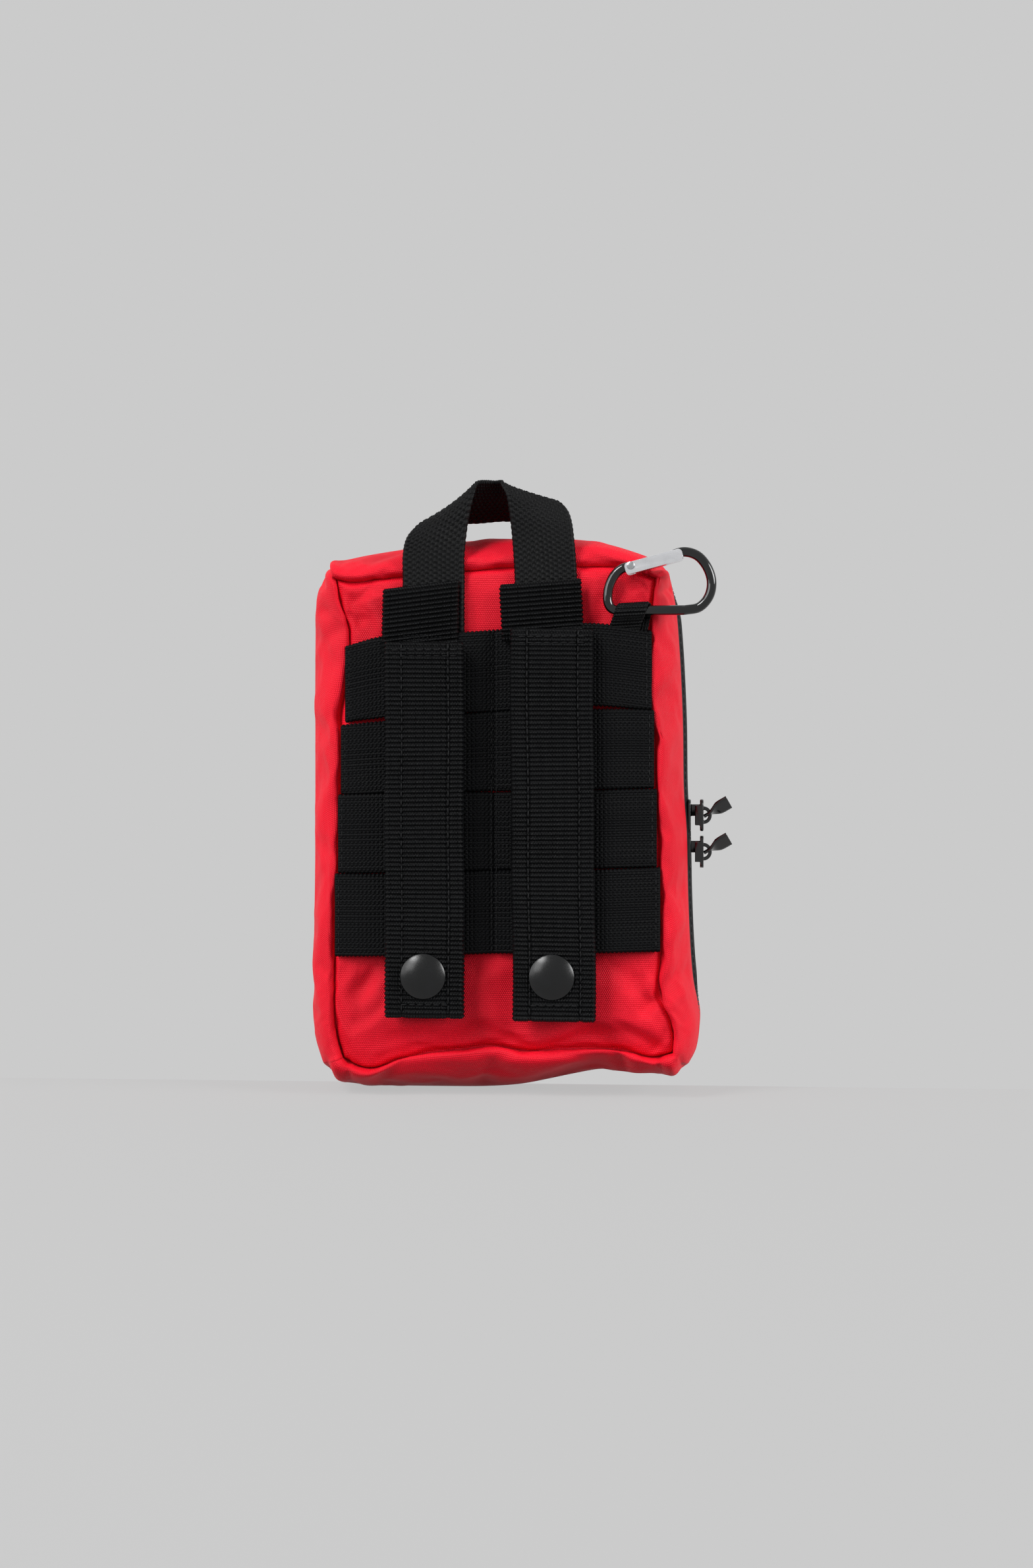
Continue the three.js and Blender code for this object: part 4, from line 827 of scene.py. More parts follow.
def makeStrap(side, shape):
    fold, frontY, backY = strapShape["fold"], strapShape["frontY"], strapShape["backY"]
    (topX, lowX), top, bottom, half = shape["x"], shape["top"], shape["bottom"], shape["width"] / 2
    down = [(topX, frontY + 0.9, top), (topX, frontY + 0.1, top - 2.2), (topX, frontY, top - 6),
            ((topX + lowX) / 2, frontY - 0.25, 92), (lowX, frontY, 44), (lowX, frontY, bottom + 4)]
    low = bottom + strapShape["thick"] / 2 + fold
    turned = [(lowX, strapShape["middleY"] - fold * math.cos(a), low - fold * math.sin(a))
              for a in np.linspace(0, math.pi, 7)]
    up = [(lowX, backY, low + 8), (topX, backY, 90), (topX, backY, top - 1)]
    spine = through(down + turned + up, strapShape["steps"])
    # the ribs wander and lean a little, as a strap's weave does
    run, (often, far), (turns, lean) = spine[:, 2], strapShape["drift"], strapShape["lean"]
    sides = np.stack([np.ones(len(spine)), np.zeros(len(spine)), lean * np.sin(run * turns + 2)], axis=1)
    spine[:, 0] += np.sin(run * often + shape["wander"]) * far
    lines = [-half + strapShape["seams"][0], half + strapShape["seams"][1]]
    strap = webbing(f"snap_strap_{side}", spine, sides, shape["width"], strapShape["thick"], strapShape["columns"],
                    strapLook, [(at, strapShape["dent"]) for at in lines])
    wear(strap, "black_webbing", None, f"strap_{side}")
    keep = spine[(spine[:, 1] < strapShape["middleY"] - 0.1) & (spine[:, 2] > bottom + 2)]
    seams = [keep + (at, -strapShape["proud"], 0) for at in lines]
    box, tops = strapShape["boxSeam"], strapShape["topSeam"]
    seams += [[(lowX + sign * box["half"], box["y"], strapShape["snapZ"] - box["below"]) for sign in (-1, 1)]]
    seams += [[(topX + sign * tops["half"], tops["y"], top - fall) for sign in (-1, 1)] for fall in tops["falls"]]
    thread = stitches(f"strap_stitching_{side}", [(seam, front) for seam in seams], strapShape["stitch"],
                      "black_webbing", None)
    for piece in (strap, thread):
        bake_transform(piece)


for side, shape in snapStraps.items():
    makeStrap(side, shape)

# Anchors: short cross-ribbed ends of webbing sewn over the handle's ends and the straps' tops
anchors = {
    "thick": 1.15, "steps": 130, "columns": 62, "y": (-36.25, -36.45, -36.3, -36.0, -35.5), "fall": (2.6, 0.7),
    "left": {"low": (-25.3, 147.6), "high": (-24.9, 168.2), "tilt": 0.115, "width": 24.9},
    "right": {"low": (15.2, 150.6), "high": (14.4, 168.9), "tilt": 0.07, "width": 26.2},
}
for side in snapStraps:
    shape = anchors[side]
    (x0, z0), (x1, z1), (near, far) = shape["low"], shape["high"], anchors["fall"]
    places = [(x0, z0), ((x0 + x1) / 2, (z0 + z1) / 2), (x1, z1 - near), (x1, z1 - far), (x1, z1)]
    spine = through([(x, y, z) for (x, z), y in zip(places, anchors["y"])], anchors["steps"])
    anchor = webbing(f"anchor_webbing_{side}", spine, (1, 0, shape["tilt"]), shape["width"], anchors["thick"],
                     anchors["columns"], strapLook)
    wear(anchor, "black_webbing", "pouch", f"strap_anchor_{side}")
print("straps made")

# Handle: one basket-weave webbing, sewn flat at both ends and turned over itself at the top. Its stations are
# shares of the span, the lean and the rise, and the way its width points.
handle = {
    "stations": [(-1, 0, 0, (1, 0, 0)), (-1, 0, 0.3, (1, 0, 0)), (-0.93, 0.02, 0.6, (0.98, -0.02, 0.18)),
                 (-0.77, 0.15, 0.845, (0.88, -0.25, 0.4)), (-0.57, 0.43, 0.965, (0.64, -0.5, 0.55)),
                 (-0.24, 0.78, 0.98, (0.3, -0.72, 0.62)), (0.08, 1, 1, (0, -0.82, 0.57)),
                 (0.37, 0.84, 1.0, (-0.33, -0.72, 0.55)), (0.646, 0.5, 1.06, (-0.78, -0.56, 0.22)),
                 (0.816, 0.2, 0.95, (-0.91, -0.36, 0.15)), (0.9, 0.04, 0.76, (-0.97, -0.12, 0.1)),
                 (0.95, 0, 0.5, (-0.99, 0, 0.06)), (1, 0, 0, (-1, 0, 0))],
    "middle": -2.5, "span": 18.5, "depth": -33.9, "lean": 12.2, "foot": 170.6, "rise": 26.7, "width": 20.2,
    "thick": 1.3, "sewn": 19.5, "sewnIn": 0.45, "steps": 430, "columns": 56, "turnScale": 20,
    "look": {"ribPitch": 1.75, "ribHeight": 0.62, "beadWidth": 1.45, "beadShare": 0.8, "stagger": 0.5,
             "material": basketWebbing},
}


def makeHandle():
    places = [(handle["middle"] + place * handle["span"], handle["depth"] + lean * handle["lean"],
               handle["foot"] + rise * handle["rise"]) for place, lean, rise, _ in handle["stations"]]
    sides = [edge for *_, edge in handle["stations"]]
    sewn = [[(places[at][0], handle["depth"] - handle["sewnIn"], handle["foot"] - handle["sewn"] * share)
             for share in shares] for at, shares in ((0, (1, 0.5)), (-1, (0.5, 1)))]
    places = sewn[0] + places + sewn[1]
    sides = sides[:1] * 2 + sides + sides[-1:] * 2
    # the width's way is carried along the curve with the place
    both = through([list(place) + [value * handle["turnScale"] for value in side]
                    for place, side in zip(places, sides)], handle["steps"])
    web = webbing("handle_webbing", both[:, :3], both[:, 3:], handle["width"], handle["thick"], handle["columns"],
                  handle["look"])
    wear(web, "handle_webbing", None, "carry_handle", "handle_end_left", "handle_end_right")
    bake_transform(web)


makeHandle()
print("handle made")


def cadCopy(node, name, finish, slot, bevel=0.25, steps=2, thread=False):
    # A smooth-edged copy of a CAD mesh whose shape is right, as a piece of its own.
    source = frame["nodes"][node]
    mesh = source.data.copy()
    mesh.name = name
    mesh.materials.clear()
    mesh.materials.append(finish)
    piece = addObject(name, mesh)
    work = bmesh.new()
    work.from_mesh(mesh)
    bmesh.ops.remove_doubles(work, verts=work.verts, dist=0.01 * mm)
    bmesh.ops.dissolve_limit(work, angle_limit=math.radians(1), verts=work.verts, edges=work.edges)
    for face in work.faces:
        face.smooth = True
        face.material_index = 0
    work.to_mesh(mesh)
    work.free()
    edges = piece.modifiers.new("edges", "BEVEL")
    edges.width, edges.segments, edges.limit_method = bevel * mm, steps, "ANGLE"
    edges.angle_limit = math.radians(32)
    edges.harden_normals = True
    settle(piece)
    if thread:
        places = placesOf(piece)
        across, along = places[:, 2], places[:, 0] + places[:, 1]
        setVectors(piece, "thread", np.stack([across, along, 0 * along], axis=1) * mm)
    return wear(piece, slot, source["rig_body"], node)


def lathe(name, profile, centre, axis, finish, segments):
    # Turns [radius, height] places round an axis through the centre. A profile that ends where it starts is a ring.
    turn = Vector(axis).to_track_quat("Z", "Y").to_matrix()
    points, threads = [], []
    for (radius, height), run in zip(profile, lengths(np.array(profile, float))):
        for k in range(segments):
            angle = 2 * math.pi * k / segments
            place = turn @ Vector((radius * math.cos(angle), radius * math.sin(angle), height))
            points.append(np.array(centre) + np.array(place))
            threads.append((angle * max(radius, 1), run))
    capped = profile[-1] != profile[0]
    faces = tubeFaces(len(profile), segments, capped)
    if not capped:
        last = (len(profile) - 1) * segments
        faces = [tuple(i % last for i in face) for face in faces]
        points, threads = points[:last], threads[:last]
    return faceOut(makeMesh(name, points, faces, finish, threads))


def tube(name, path, radius, finish, sides):
    # A round rod along a path that lies in one XZ plane, with rounded ends.
    across, roundOver, endShare = np.array([0.0, 1.0, 0.0]), 0.7 * radius, 0.02
    up = unit(np.cross(tangents(path), across))
    along = lengths(path)
    points = []
    for k in range(len(path)):
        inset = min(along[k], along[-1] - along[k])
        wide = radius * math.sqrt(max(endShare, 1 - max(0, 1 - inset / roundOver) ** 2))
        for i in range(sides):
            angle = 2 * math.pi * i / sides
            points.append(path[k] + wide * (math.cos(angle) * across + math.sin(angle) * up[k]))
    return faceOut(makeMesh(name, points, tubeFaces(len(path), sides), finish))


# Snaps: a low domed cap with a rolled rim, and the plated parts behind it
snapCap = {
    "profile": [(0.02, 2.28), (1.2, 2.26), (2.4, 2.15), (3.6, 1.93), (4.6, 1.66), (5.5, 1.32), (6.3, 0.93),
                (6.9, 0.6), (7.3, 0.34), (7.48, 0.16), (7.4, 0.02), (7.0, 0.0), (6.4, 0.06), (4, 0.1), (0.02, 0.1)],
    "y": -40.85, "z": 40.4, "segments": 72,
}
for side in snapStraps:
    low, high = boxOf(f"snap_cap_{side}")
    cap = lathe(f"snap_cap_dome_{side}", snapCap["profile"], ((low[0] + high[0]) / 2, snapCap["y"], snapCap["z"]),
                (0, -1, 0), capEnamel, snapCap["segments"])
    wear(cap, "snap_enamel", f"{side}_strap", f"snap_cap_{side}")
    for part in ("snap_socket", "snap_stud", "stud_washer"):
        cadCopy(f"{part}_{side}", f"plated_{part}_{side}", nickelSteel, "plated_steel", 0.15)

# Clip: a bent round rod, its folded gate with rivet and spring, and the tape loop that it hangs in
clip = {
    "bar": (44.5, -36.0, 159.6), "radius": 1.6,
    "wide": [(12.6, 17.9), (16.8, 18.9), (20.9, 17.7), (24, 14.2), (25.6, 9.4), (24.8, 4.5), (21.6, 0.9), (17, 0)],
    "narrow": [(-5.3, 0), (-6.9, 0.7), (-7.9, 2.4), (-8.1, 4.8), (-7.6, 8), (-5.8, 11.6), (-3.4, 13.6),
               (-0.6, 14.4)],
    "loop": {"radius": 2.15, "width": 10.2, "thick": 0.8, "ribPitch": 1.15, "ribHeight": 0.36, "beadWidth": 0.85,
             "beadShare": 0.5, "stagger": 0.0, "material": blackWebbing},
}
barX, barY, barZ = clip["bar"]
bends = np.vstack([through(clip["wide"], 90), through(clip["narrow"], 80)])
rodPath = np.stack([barX + bends[:, 0], np.full(len(bends), barY), barZ + bends[:, 1]], axis=1)
clipRod = tube("clip_rod", evenly(rodPath, 240), clip["radius"], anodisedRod, 28)
wear(clipRod, "anodised_black", "clip", "clip_body")
cadCopy("clip_gate", "clip_gate_strip", tumbledAluminium, "bare_aluminium", 0.35, 3)
cadCopy("gate_rivet", "clip_rivet", nickelSteel, "plated_steel")
cadCopy("gate_spring", "clip_spring", nickelSteel, "plated_steel", 0.08)
loopShape = clip["loop"]
loopTurns = [math.radians(30 * k - 20) for k in range(7)]
loopPath = ([(barX - 3.4, -34.5, 150.8), (barX - 2.6, -35.3, 154.2)]
            + [(barX - 0.7 + 0.3 * k, barY - loopShape["radius"] * math.cos(turn),
                barZ + loopShape["radius"] * math.sin(turn)) for k, turn in enumerate(loopTurns)]
            + [(barX + 0.4, -33.75, 156.6), (barX - 0.6, -33.5, 151.5)])
loop = webbing("clip_loop_tape", through(loopPath, 190), (1, 0, 0.05), loopShape["width"], loopShape["thick"], 26,
               loopShape)
wear(loop, "black_webbing", "pouch", "clip_loop")
print("snaps and clip made")

# Zip: a tape each side that bows a little outward, teeth that mesh between them, two sliders and two pulls.
# It stands prouder on the right, between the top corner and the sliders.
zipper = {"end": 13.9, "tapeWidth": 8.0, "tapeMiddle": 4.7, "inset": 1.7, "thick": 0.8, "pitch": 1.5,
          "tooth": (3.5, 1.0, 1.5), "toothY": 1.15, "toothOut": -0.9, "bow": 0.08, "seams": (3.4, 6.9),
          "proud": {"inset": -1.4, "bow": 0.24, "toothOut": 1.1},
          "proudLow": (22, 40), "proudHigh": (158, 176), "proudRight": (46, 58), "steps": 300, "columns": 10,
          "stitch": {"pitch": 2.6, "size": (2.1, 0.45, 0.5)}, "stitchIn": 0.42}
_, rimRight, rimTop, rimLeft = outlineOf(pouch, "rim")
rimPath = np.vstack([rimRight[:-1], rimTop[:-1], rimLeft])
rimPath = evenly(rimPath[rimPath[:, 1] >= zipper["end"]], zipper["steps"])
rimWay, flatY = tangents(rimPath), np.zeros(len(rimPath))
rimOut = np.stack([rimWay[:, 1], flatY, -rimWay[:, 0]], axis=1)
rimPlaces = np.stack([rimPath[:, 0], flatY, rimPath[:, 1]], axis=1)
proud = (smoothStep(rimPath[:, 0], *zipper["proudRight"]) * smoothStep(rimPath[:, 1], *zipper["proudLow"])
         * (1 - smoothStep(rimPath[:, 1], *zipper["proudHigh"])))[:, None]
inset, bow, toothOut = (zipper[key] + zipper["proud"][key] * proud for key in ("inset", "bow", "toothOut"))
rimRun = lengths(rimPlaces)


def atRim(values, runs):
    return np.stack([np.interp(runs, rimRun, values[:, k]) for k in range(values.shape[1])], axis=1)


for side, sign, body in (("back", -1, "pouch"), ("front", 1, "cover")):
    spine = rimPlaces - rimOut * inset
    spine[:, 1] = sign * zipper["tapeMiddle"]
    tape = strip(f"zip_tape_cloth_{side}", spine, (0, 1, 0) - sign * bow * rimOut, zipper["tapeWidth"],
                 zipper["thick"], tapeCloth, zipper["columns"])
    wear(tape, "zip_tape", body, f"zip_tape_{side}")
    # the front teeth stand half a pitch further on, between the back ones
    first = 1.0 + (zipper["pitch"] / 2 if side == "front" else 0)
    runs = np.arange(first, rimRun[-1] - 1, zipper["pitch"])
    outs = unit(atRim(rimOut, runs))
    places = atRim(rimPlaces, runs) + outs * atRim(toothOut, runs)
    places[:, 1] = sign * zipper["toothY"]
    teeth = grains(f"zip_teeth_{side}", places, (0, 1, 0), outs, zipper["tooth"], zipNylon)
    wear(teeth, "zip_coil", body, f"zip_coil_{side}")
    for offset in zipper["seams"]:
        line = (rimPlaces - rimOut * (inset - zipper["stitchIn"] - (zipper["tapeMiddle"] - offset) * bow))[3:-3]
        line[:, 1] = sign * offset
        stitches(f"zip_stitching_{side}_{int(offset)}", [(line[::4], (1, 0, 0))], zipper["stitch"], "zip_tape", body)

# Pulls: flat tongues that rise from their pins and turn a little on them
pull = {"x": 68.1, "z": {"upper": 92.5, "lower": 80.1}, "rise": 30, "run": (-0.8, 9.0), "turn": 48, "thick": 1.2,
        "narrow": 3.4, "widens": 2.2, "steps": 40}
for level, z in pull["z"].items():
    cadCopy(f"zip_slider_{level}", f"cast_slider_{level}", zincEnamel, "black_enamel", 0.45, 3)
    rise, share = math.radians(pull["rise"]), np.linspace(0, 1, pull["steps"])
    way = np.array([math.cos(rise), -0.1, math.sin(rise)])
    spine = (pull["x"], 0, z) + np.linspace(*pull["run"], pull["steps"])[:, None] * way
    sides = [(math.sin(turn) * math.sin(rise), math.cos(turn), -math.sin(turn) * math.cos(rise))
             for turn in smoothStep(share, 0.15, 0.6) * math.radians(pull["turn"])]
    width = pull["narrow"] + pull["widens"] * smoothStep(share, 0.1, 0.75)
    tongue = strip(f"zip_pull_tongue_{level}", spine, sides, width, pull["thick"], zincEnamel, 8)
    wear(tongue, "black_enamel", f"{level}_pull", f"zip_pull_{level}")
print("zip made")

# Bleached cotton gauze, crimped open weave
cottonGauze = wovenMaterial("cotton gauze", {
    "low": "C9C5BA", "high": "EDEAE2", "across": 0.9, "along": 1.1, "stagger": True, "depth": 0.2, "rough": 0.95,
    "shine": 0.15, "sockets": {"Sheen Weight": 0.1}})
# Zinc-oxide plaster tape, pale buff cloth
plasterCloth = wovenMaterial("plaster tape cloth", {
    "low": "BFA88C", "high": "D9C6AC", "across": 0.5, "along": 0.5, "depth": 0.05, "rough": 0.8})
# Clear-backed packing film over blue gloves: soft gloss
gloveFilm = hardMaterial("packing film", {
    "colour": "7E9DB6", "worn": "9DB6C8", "grain": 2.4, "depth": 0.12, "rough": 0.2, "wear": 0.7,
    "sockets": {"Coat Weight": 0.7, "Coat Roughness": 0.08}})
# Metallised rescue-blanket film
blanketFoil = hardMaterial("metallised film", {
    "colour": "C9CACD", "worn": "B7B9BE", "grain": 1.5, "depth": 0.1, "rough": 0.16, "metal": 1.0})
# Uncoated sterilising paper, matt with faint fibre clouds
pouchPaper = hardMaterial("medical paper", {
    "colour": "DADCD6", "worn": "CBCEC8", "grain": 0.5, "depth": 0.04, "rough": 0.8, "wear": 0.8})
# Knitted polyester netting yarn
netYarn = hardMaterial("netting yarn", {
    "colour": "0B0C0E", "worn": "1C1E21", "grain": 0.3, "depth": 0.05, "rough": 0.7})

# Flat packets: the share of the seal, the creases' size and height, and how full they are
packets = [
    ("gloves_film_packet", "gloves_packet", gloveFilm, "packet_film",
     {"seal": 0.06, "crease": 16, "height": 1.0, "seed": 21, "fill": 0.5}),
    ("blanket_foil_packet", "blanket_packet", blanketFoil, "packet_foil",
     {"seal": 0.05, "crease": 11, "height": 1.4, "seed": 22, "fill": 0.7}),
    ("dressing_paper_packet", "dressing_packet", pouchPaper, "packet_paper",
     {"seal": 0.12, "crease": 18, "height": 0.5, "seed": 23, "fill": 0.5}),
    ("plaster_paper_packet", "plaster_packet", pouchPaper, "packet_paper",
     {"seal": 0.14, "crease": 14, "height": 0.4, "seed": 24, "fill": 0.4}),
]
packetShape = {"columns": 45, "rows": 53, "edge": 0.18, "swellOver": 0.35, "cornerIn": 0.03, "spare": 0.05,
               "room": 0.5, "belly": 0.25, "creaseFrom": 0.15, "creaseOver": 1.5}


def spread(rows, columns):
    # A grid's places from -1 to 1 across and up
    return [(2 * i / (columns - 1) - 1, 2 * j / (rows - 1) - 1) for j in range(rows) for i in range(columns)]


def pillow(name, node, finish, slot, look):
    # Two faces that swell from a thin sealed edge, with creases.
    low, high = boxOf(node)
    middle, half = (low + high) / 2, (high - low) / 2
    form = packetShape
    rows, columns, spare = form["rows"], form["columns"], form["spare"]
    points, threads = [], []
    for face in (1, -1):
        for u, v in spread(rows, columns):
            corner = 1 - form["cornerIn"] * (abs(u) * abs(v)) ** 6
            swelling = smoothStep(1 - max(abs(u), abs(v)), look["seal"], look["seal"] + form["swellOver"])
            swelling *= 1 - form["belly"] * (u * u + v * v) / 2
            thick = form["edge"] + (half[1] - form["room"]) * swelling
            points.append(middle + (u * corner * half[0], face * thick, v * corner * half[2]))
            threads.append((u * half[0], v * half[2]))
    points = np.array(points)
    away = points[:, 1] - middle[1]
    crease = (np.abs(smoothNoise(points, look["crease"], look["seed"])) - 0.5) * look["height"]
    inner = np.clip((np.abs(away) - form["creaseFrom"]) / form["creaseOver"], 0, 1)
    points[:, 1] += crease * inner * np.sign(away)
    points[:, 1] = np.clip(points[:, 1], low[1] + spare, high[1] - spare)
    n, faces = rows * columns, []
    for quad in gridFaces(rows, columns):
        faces += [quad[::-1], tuple(q + n for q in quad)]
    edge = borderOf(rows, columns)
    faces += [(a, b, b + n, a + n) for a, b in zip(edge, edge[1:] + edge[:1])]
    packet = faceOut(makeMesh(name, points, faces, finish, threads))
    wear(packet, slot, frame["nodes"][node]["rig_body"], node)


def cutSheet(name, node, body, finish, slot, look):
    # A flat cut sheet with round corners that waves a little.
    (x0, x1), (z0, z1), corner = look["x"], look["z"], look["corner"]
    middleX, middleZ, halfX, halfZ = (x0 + x1) / 2, (z0 + z1) / 2, (x1 - x0) / 2, (z1 - z0) / 2
    rows, columns, waveSize = 73, 49, 38
    threads = []
    for u, v in spread(rows, columns):
        across, up = abs(u) * halfX, abs(v) * halfZ
        dx, dz = across - (halfX - corner), up - (halfZ - corner)
        if dx > 0 and dz > 0:
            shrink = max(dx, dz) / math.hypot(dx, dz)
            across, up = halfX - corner + dx * shrink, halfZ - corner + dz * shrink
        threads.append((middleX + math.copysign(across, u), middleZ + math.copysign(up, v)))
    points = np.array([(x, look["y"], z) for x, z in threads])
    points[:, 1] += smoothNoise(points, waveSize, look["seed"]) * look["wave"]
    sheet = makeMesh(name, points, gridFaces(rows, columns), finish, threads)
    return wear(thicken(sheet, look["thick"]), slot, body, node)


cutSheet("back_board_sheet", "back_board", "pouch", waxySheet, "board_plastic", {
    "x": (-46.6, 46.6), "z": (27, 167), "y": -29.3, "thick": 1.1, "corner": 8, "seed": 4, "wave": 0.04})
linings = [
    ("back_lining_cloth", "back_lining", "pouch", "back_board_sheet", {"z": (17, 170), "y": -27.5, "seed": 5}),
    ("cover_lining_cloth", "front_lining", "cover", "cover_fabric", {"z": (13, 170), "y": 30.0, "seed": 6}),
]
for name, node, body, under, look in linings:
    look = {"x": (-49.2, 49.2), "thick": 0.5, "corner": 9.0, "wave": 0.25, **look}
    lining = cutSheet(name, node, body, redLining, "lining_fabric", look)

# Bandage rolls: gauze wound in many turns, its layers seen on the ends
uneven = 0.072
for number in (1, 2, 3):
    low, high = boxOf(f"bandage_roll_{number}")
    middle, (radius, _, half) = (low + high) / 2, (high - low) / 2
    rings = [(r, half - 0.4 + 0.28 * (k % 2)) for k, r in enumerate(np.arange(0.4, radius - 0.3, 0.42))]
    side = [(radius - 0.05 + 0.05 * math.sin(7 * h), h) for h in np.linspace(half - 0.2, -half + 0.2, 60)]
    profile = rings + side + [(r, -h) for r, h in rings[::-1]]
    roll = lathe(f"gauze_roll_{number}", profile, middle, (0, 0, 1), cottonGauze, 56)
    places = placesOf(roll)
    places[:, 0] += uneven * np.sin(places[:, 2] * 0.4 + number) * np.sign(places[:, 0] - middle[0])
    setPlaces(roll, places)
    wear(roll, "white_cotton", "pouch", f"bandage_roll_{number}")

# Tape roll: a card core, then the tape's layers
low, high = boxOf("tape_roll")
outer, half = (high[0] - low[0]) / 2 - 0.05, (high[1] - low[1]) / 2
layers = [(r, half - 0.12 * (k % 2)) for k, r in enumerate(np.arange(10.9, outer, 0.5))]
profile = [(9.6, half - 0.1), (10.3, half), (10.7, half - 0.3)] + layers + [(outer, half - 0.3)]
profile = [(9.6, -half + 0.1)] + profile + [(r, -h) for r, h in profile[::-1]]
tapeRoll = lathe("plaster_tape_roll", profile, (low + high) / 2, (0, 1, 0), plasterCloth, 72)
wear(tapeRoll, "white_cotton", "pouch", "tape_roll")

cadCopy("tweezers", "steel_tweezers", nickelSteel, "plated_steel")
for level in ("upper", "lower"):
    cadCopy(f"elastic_band_{level}", f"elastic_{level}", elasticCloth, "elastic_webbing", thread=True)
for packet in packets:
    pillow(*packet)
for side in snapStraps:
    cadCopy(f"strap_stiffener_{side}", f"stiffener_sheet_{side}", waxySheet, "board_plastic", 0.12)

# Net pocket: knitted netting pulled round the packets, bound along its top
netShape = {"steps": 60, "cellsAcross": 48, "cellUp": 2.3, "yarn": 0.42, "slackBelow": 14, "slackOver": 12,
            "slack": 0.75}


def makeNet():
    low, high = boxOf("net_pocket")
    # from one back edge round the front to the other: inset from the side, and depth
    bend = [(0.4, high[1] - 0.3), (1.2, high[1] - 7), (5, low[1] + 1.6), (14, low[1] + 0.5)]
    plan = through([(low[0] + x, y) for x, y in bend] + [(0, low[1] + 0.4)]
                   + [(high[0] - x, y) for x, y in bend[::-1]], netShape["steps"])
    run = lengths(plan)
    wide, tall = run[-1] / netShape["cellsAcross"], netShape["cellUp"]
    rows = int((high[2] - low[2] - 3) / tall)
    points, faces, lookup = [], [], {}

    def netPoint(i, j):
        if (i, j) not in lookup:
            x, y = (np.interp(min(run[-1], i * wide / 2), run, plan[:, k]) for k in range(2))
            z = low[2] + 1 + j * tall / 2
            slack = smoothStep(low[2] + netShape["slackBelow"] - z, 0, netShape["slackOver"]) * netShape["slack"]
            lookup[i, j] = len(points)
            points.append((x, y + slack * (high[1] - 1 - y), z))
        return lookup[i, j]

    for j in range(1, 2 * rows):
        for i in range(1, 2 * netShape["cellsAcross"]):
            if (i + j) % 2:
                faces.append(tuple(netPoint(a, b) for a, b in ((i - 1, j), (i, j - 1), (i + 1, j), (i, j + 1))))
    net = makeMesh("pocket_netting", points, faces, netYarn)
    yarns = net.modifiers.new("yarns", "WIREFRAME")
    yarns.thickness, yarns.use_even_offset, yarns.use_replace = netShape["yarn"] * mm, False, True
    wear(settle(net), "pocket_net", "cover", "net_pocket")
    binding = cadCopy("pocket_binding", "pocket_edge_binding", elasticCloth, "elastic_webbing", 0.2, thread=True)


makeNet()

# Strip inside the fold that joins the two halves, lying on the base as it rises to the right
foldStrip = {"y": (3.6, 14.4), "x": (-50, 50), "rows": 25, "columns": 41, "above": 1.7, "thick": 0.7}
baseLine = np.array(pouch["rimLow"])
foldThreads = [(x, y) for y in np.linspace(*foldStrip["y"], foldStrip["rows"])
               for x in np.linspace(*foldStrip["x"], foldStrip["columns"])]
foldPoints = [(x, y, np.interp(x, baseLine[:, 0], baseLine[:, 1]) + foldStrip["above"]) for x, y in foldThreads]
fold = makeMesh("fold_binding", foldPoints, gridFaces(foldStrip["rows"], foldStrip["columns"]), tapeCloth, foldThreads)
wear(thicken(fold, foldStrip["thick"]), "zip_tape", None)
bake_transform(fold)
print("inside made")


# Floor, light and camera


def seenRays(tree):
    # 1 for what the camera, a reflection or glass looks at, 0 for light on the object
    rays = addNode(tree, "ShaderNodeLightPath").outputs
    some = addNode(tree, "ShaderNodeMath", (rays["Is Camera Ray"], rays["Is Glossy Ray"]), operation="MAXIMUM")
    return addNode(tree, "ShaderNodeMath", (some, rays["Is Transmission Ray"]), operation="MAXIMUM")


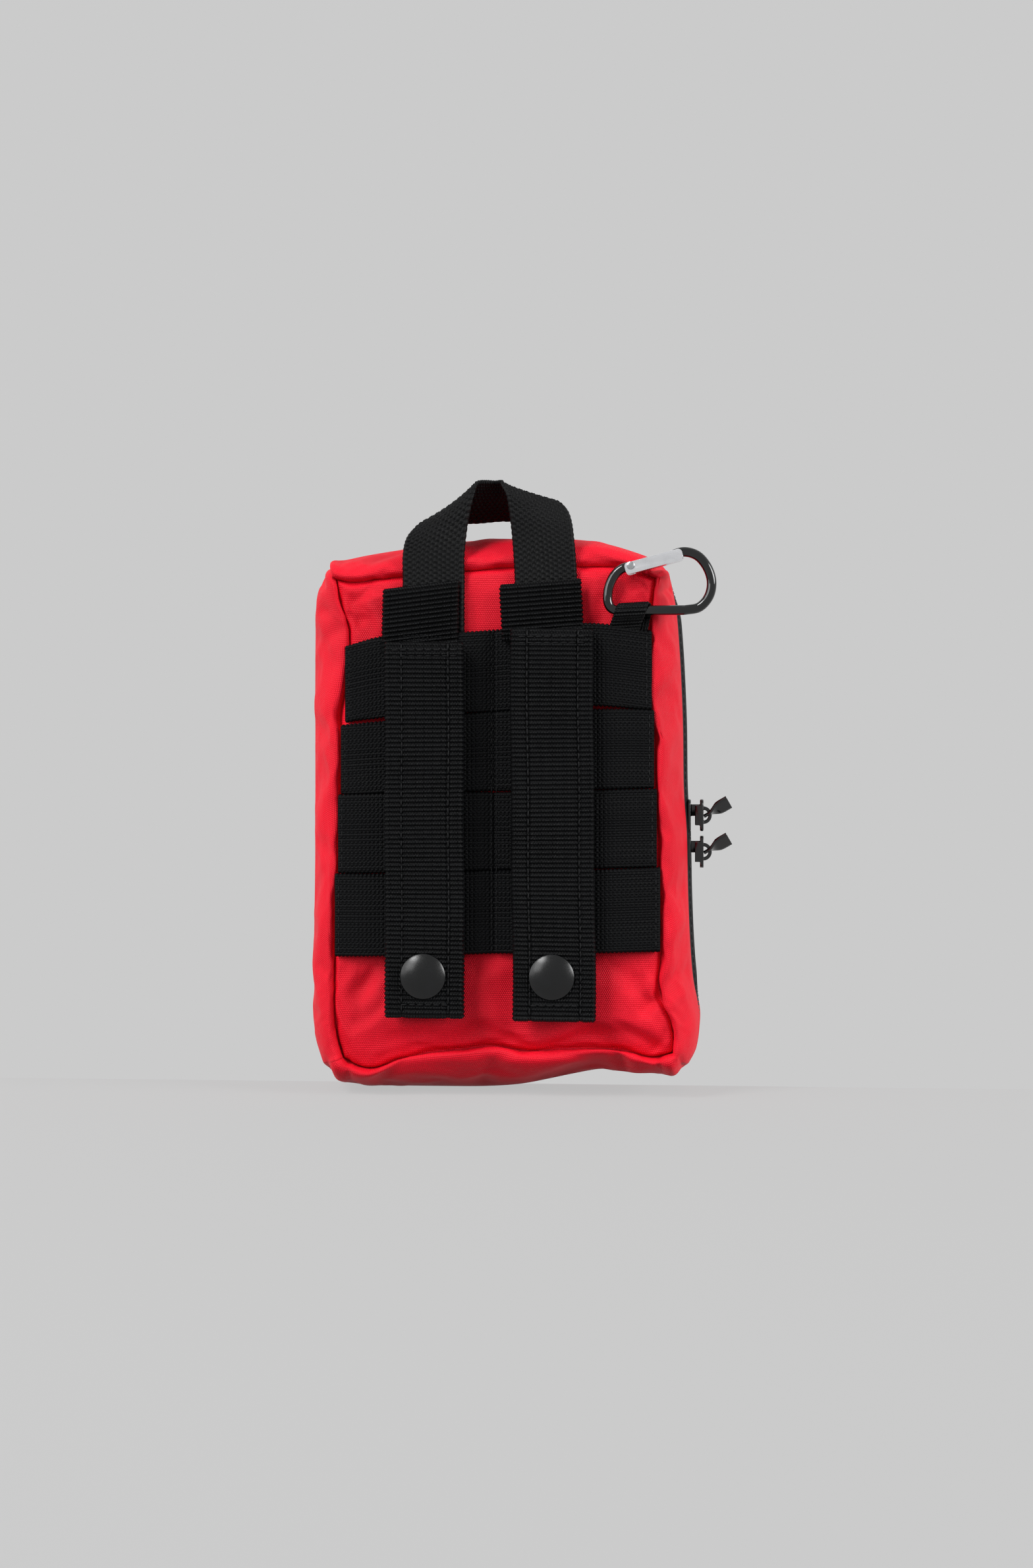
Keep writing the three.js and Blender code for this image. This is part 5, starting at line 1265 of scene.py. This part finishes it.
def makeStage():
    # the floor ends below the bottom fold, like a table's edge, so that the open cover hangs past it in full view
    reach, edge, glowShare = 4000, 4, 0.6
    floor = makeMesh("floor", [(-reach, -reach, 0), (reach, -reach, 0), (reach, edge, 0), (-reach, edge, 0)],
                     [(0, 1, 2, 3)], None, smooth=False)
    material = bpy.data.materials.new("pale grey backdrop paper")
    tree = emptyTree(material)
    paper = addNode(tree, "ShaderNodeBsdfDiffuse", {"Color": linear("858585")})
    glow = addNode(tree, "ShaderNodeEmission", {"Color": linear("E7E7E7"), "Strength": 1.0})
    share = addNode(tree, "ShaderNodeMath", (seenRays(tree), glowShare), operation="MULTIPLY")
    mix = addNode(tree, "ShaderNodeMixShader", (share, paper, glow))
    addNode(tree, "ShaderNodeOutputMaterial", {"Surface": mix})
    floor.data.materials.append(material)


def addLamp(name, kind, place, target, **settings):
    lamp = bpy.data.lights.new(name, kind)
    for key, value in settings.items():
        setattr(lamp, key, value)
    holder = addObject(name, lamp)
    holder.location = place
    holder.rotation_euler = (Vector(target) - Vector(place)).to_track_quat("-Z", "Y").to_euler()


def makeLight():
    world = bpy.data.worlds.new("studio")
    bpy.context.scene.world = world
    tree = emptyTree(world)
    air = addNode(tree, "ShaderNodeBackground", {"Color": linear("FFFFFF"), "Strength": 0.42})
    backdrop = addNode(tree, "ShaderNodeBackground", {"Color": linear("CBCBCB"), "Strength": 1.0})
    mix = addNode(tree, "ShaderNodeMixShader", (seenRays(tree), air, backdrop))
    addNode(tree, "ShaderNodeOutputWorld", {"Surface": mix})
    for name, way, strength, spread in (
            ("key light", (-0.55, -0.55, 0.8), 1.35, 20), ("right light", (0.95, -0.35, 0.35), 2.5, 30),
            ("left light", (-0.95, -0.35, 0.3), 0.7, 40)):
        addLamp(name, "SUN", way, (0, 0, 0), energy=strength, angle=math.radians(spread))
    # a softbox on the left, for the broad highlights on the caps and the clip
    addLamp("softbox", "AREA", (-0.85, -0.95, 0.72), (0, 0, 0.1), shape="RECTANGLE", size=0.6, size_y=0.9, energy=7.0)


def makeCamera():
    lens = {"azimuth": 5.0, "distance": 790, "target": (3.4, 0, 103.1), "field": 37.55}
    camera = bpy.data.cameras.new("camera")
    camera.sensor_fit = "VERTICAL"
    camera.sensor_height = 36
    camera.lens = camera.sensor_height / 2 / math.tan(math.radians(lens["field"] / 2))
    camera.clip_start, camera.clip_end = 0.01, 50
    holder = addObject("camera", camera)
    turn = math.radians(lens["azimuth"])
    away = Vector((math.sin(turn), -math.cos(turn), 0)) * lens["distance"]
    holder.location = (Vector(lens["target"]) + away) * mm
    holder.rotation_euler = (math.radians(90), 0, turn)
    bpy.context.scene.camera = holder


makeStage()
makeLight()
makeCamera()
bpy.context.scene.view_settings.view_transform = "Standard"
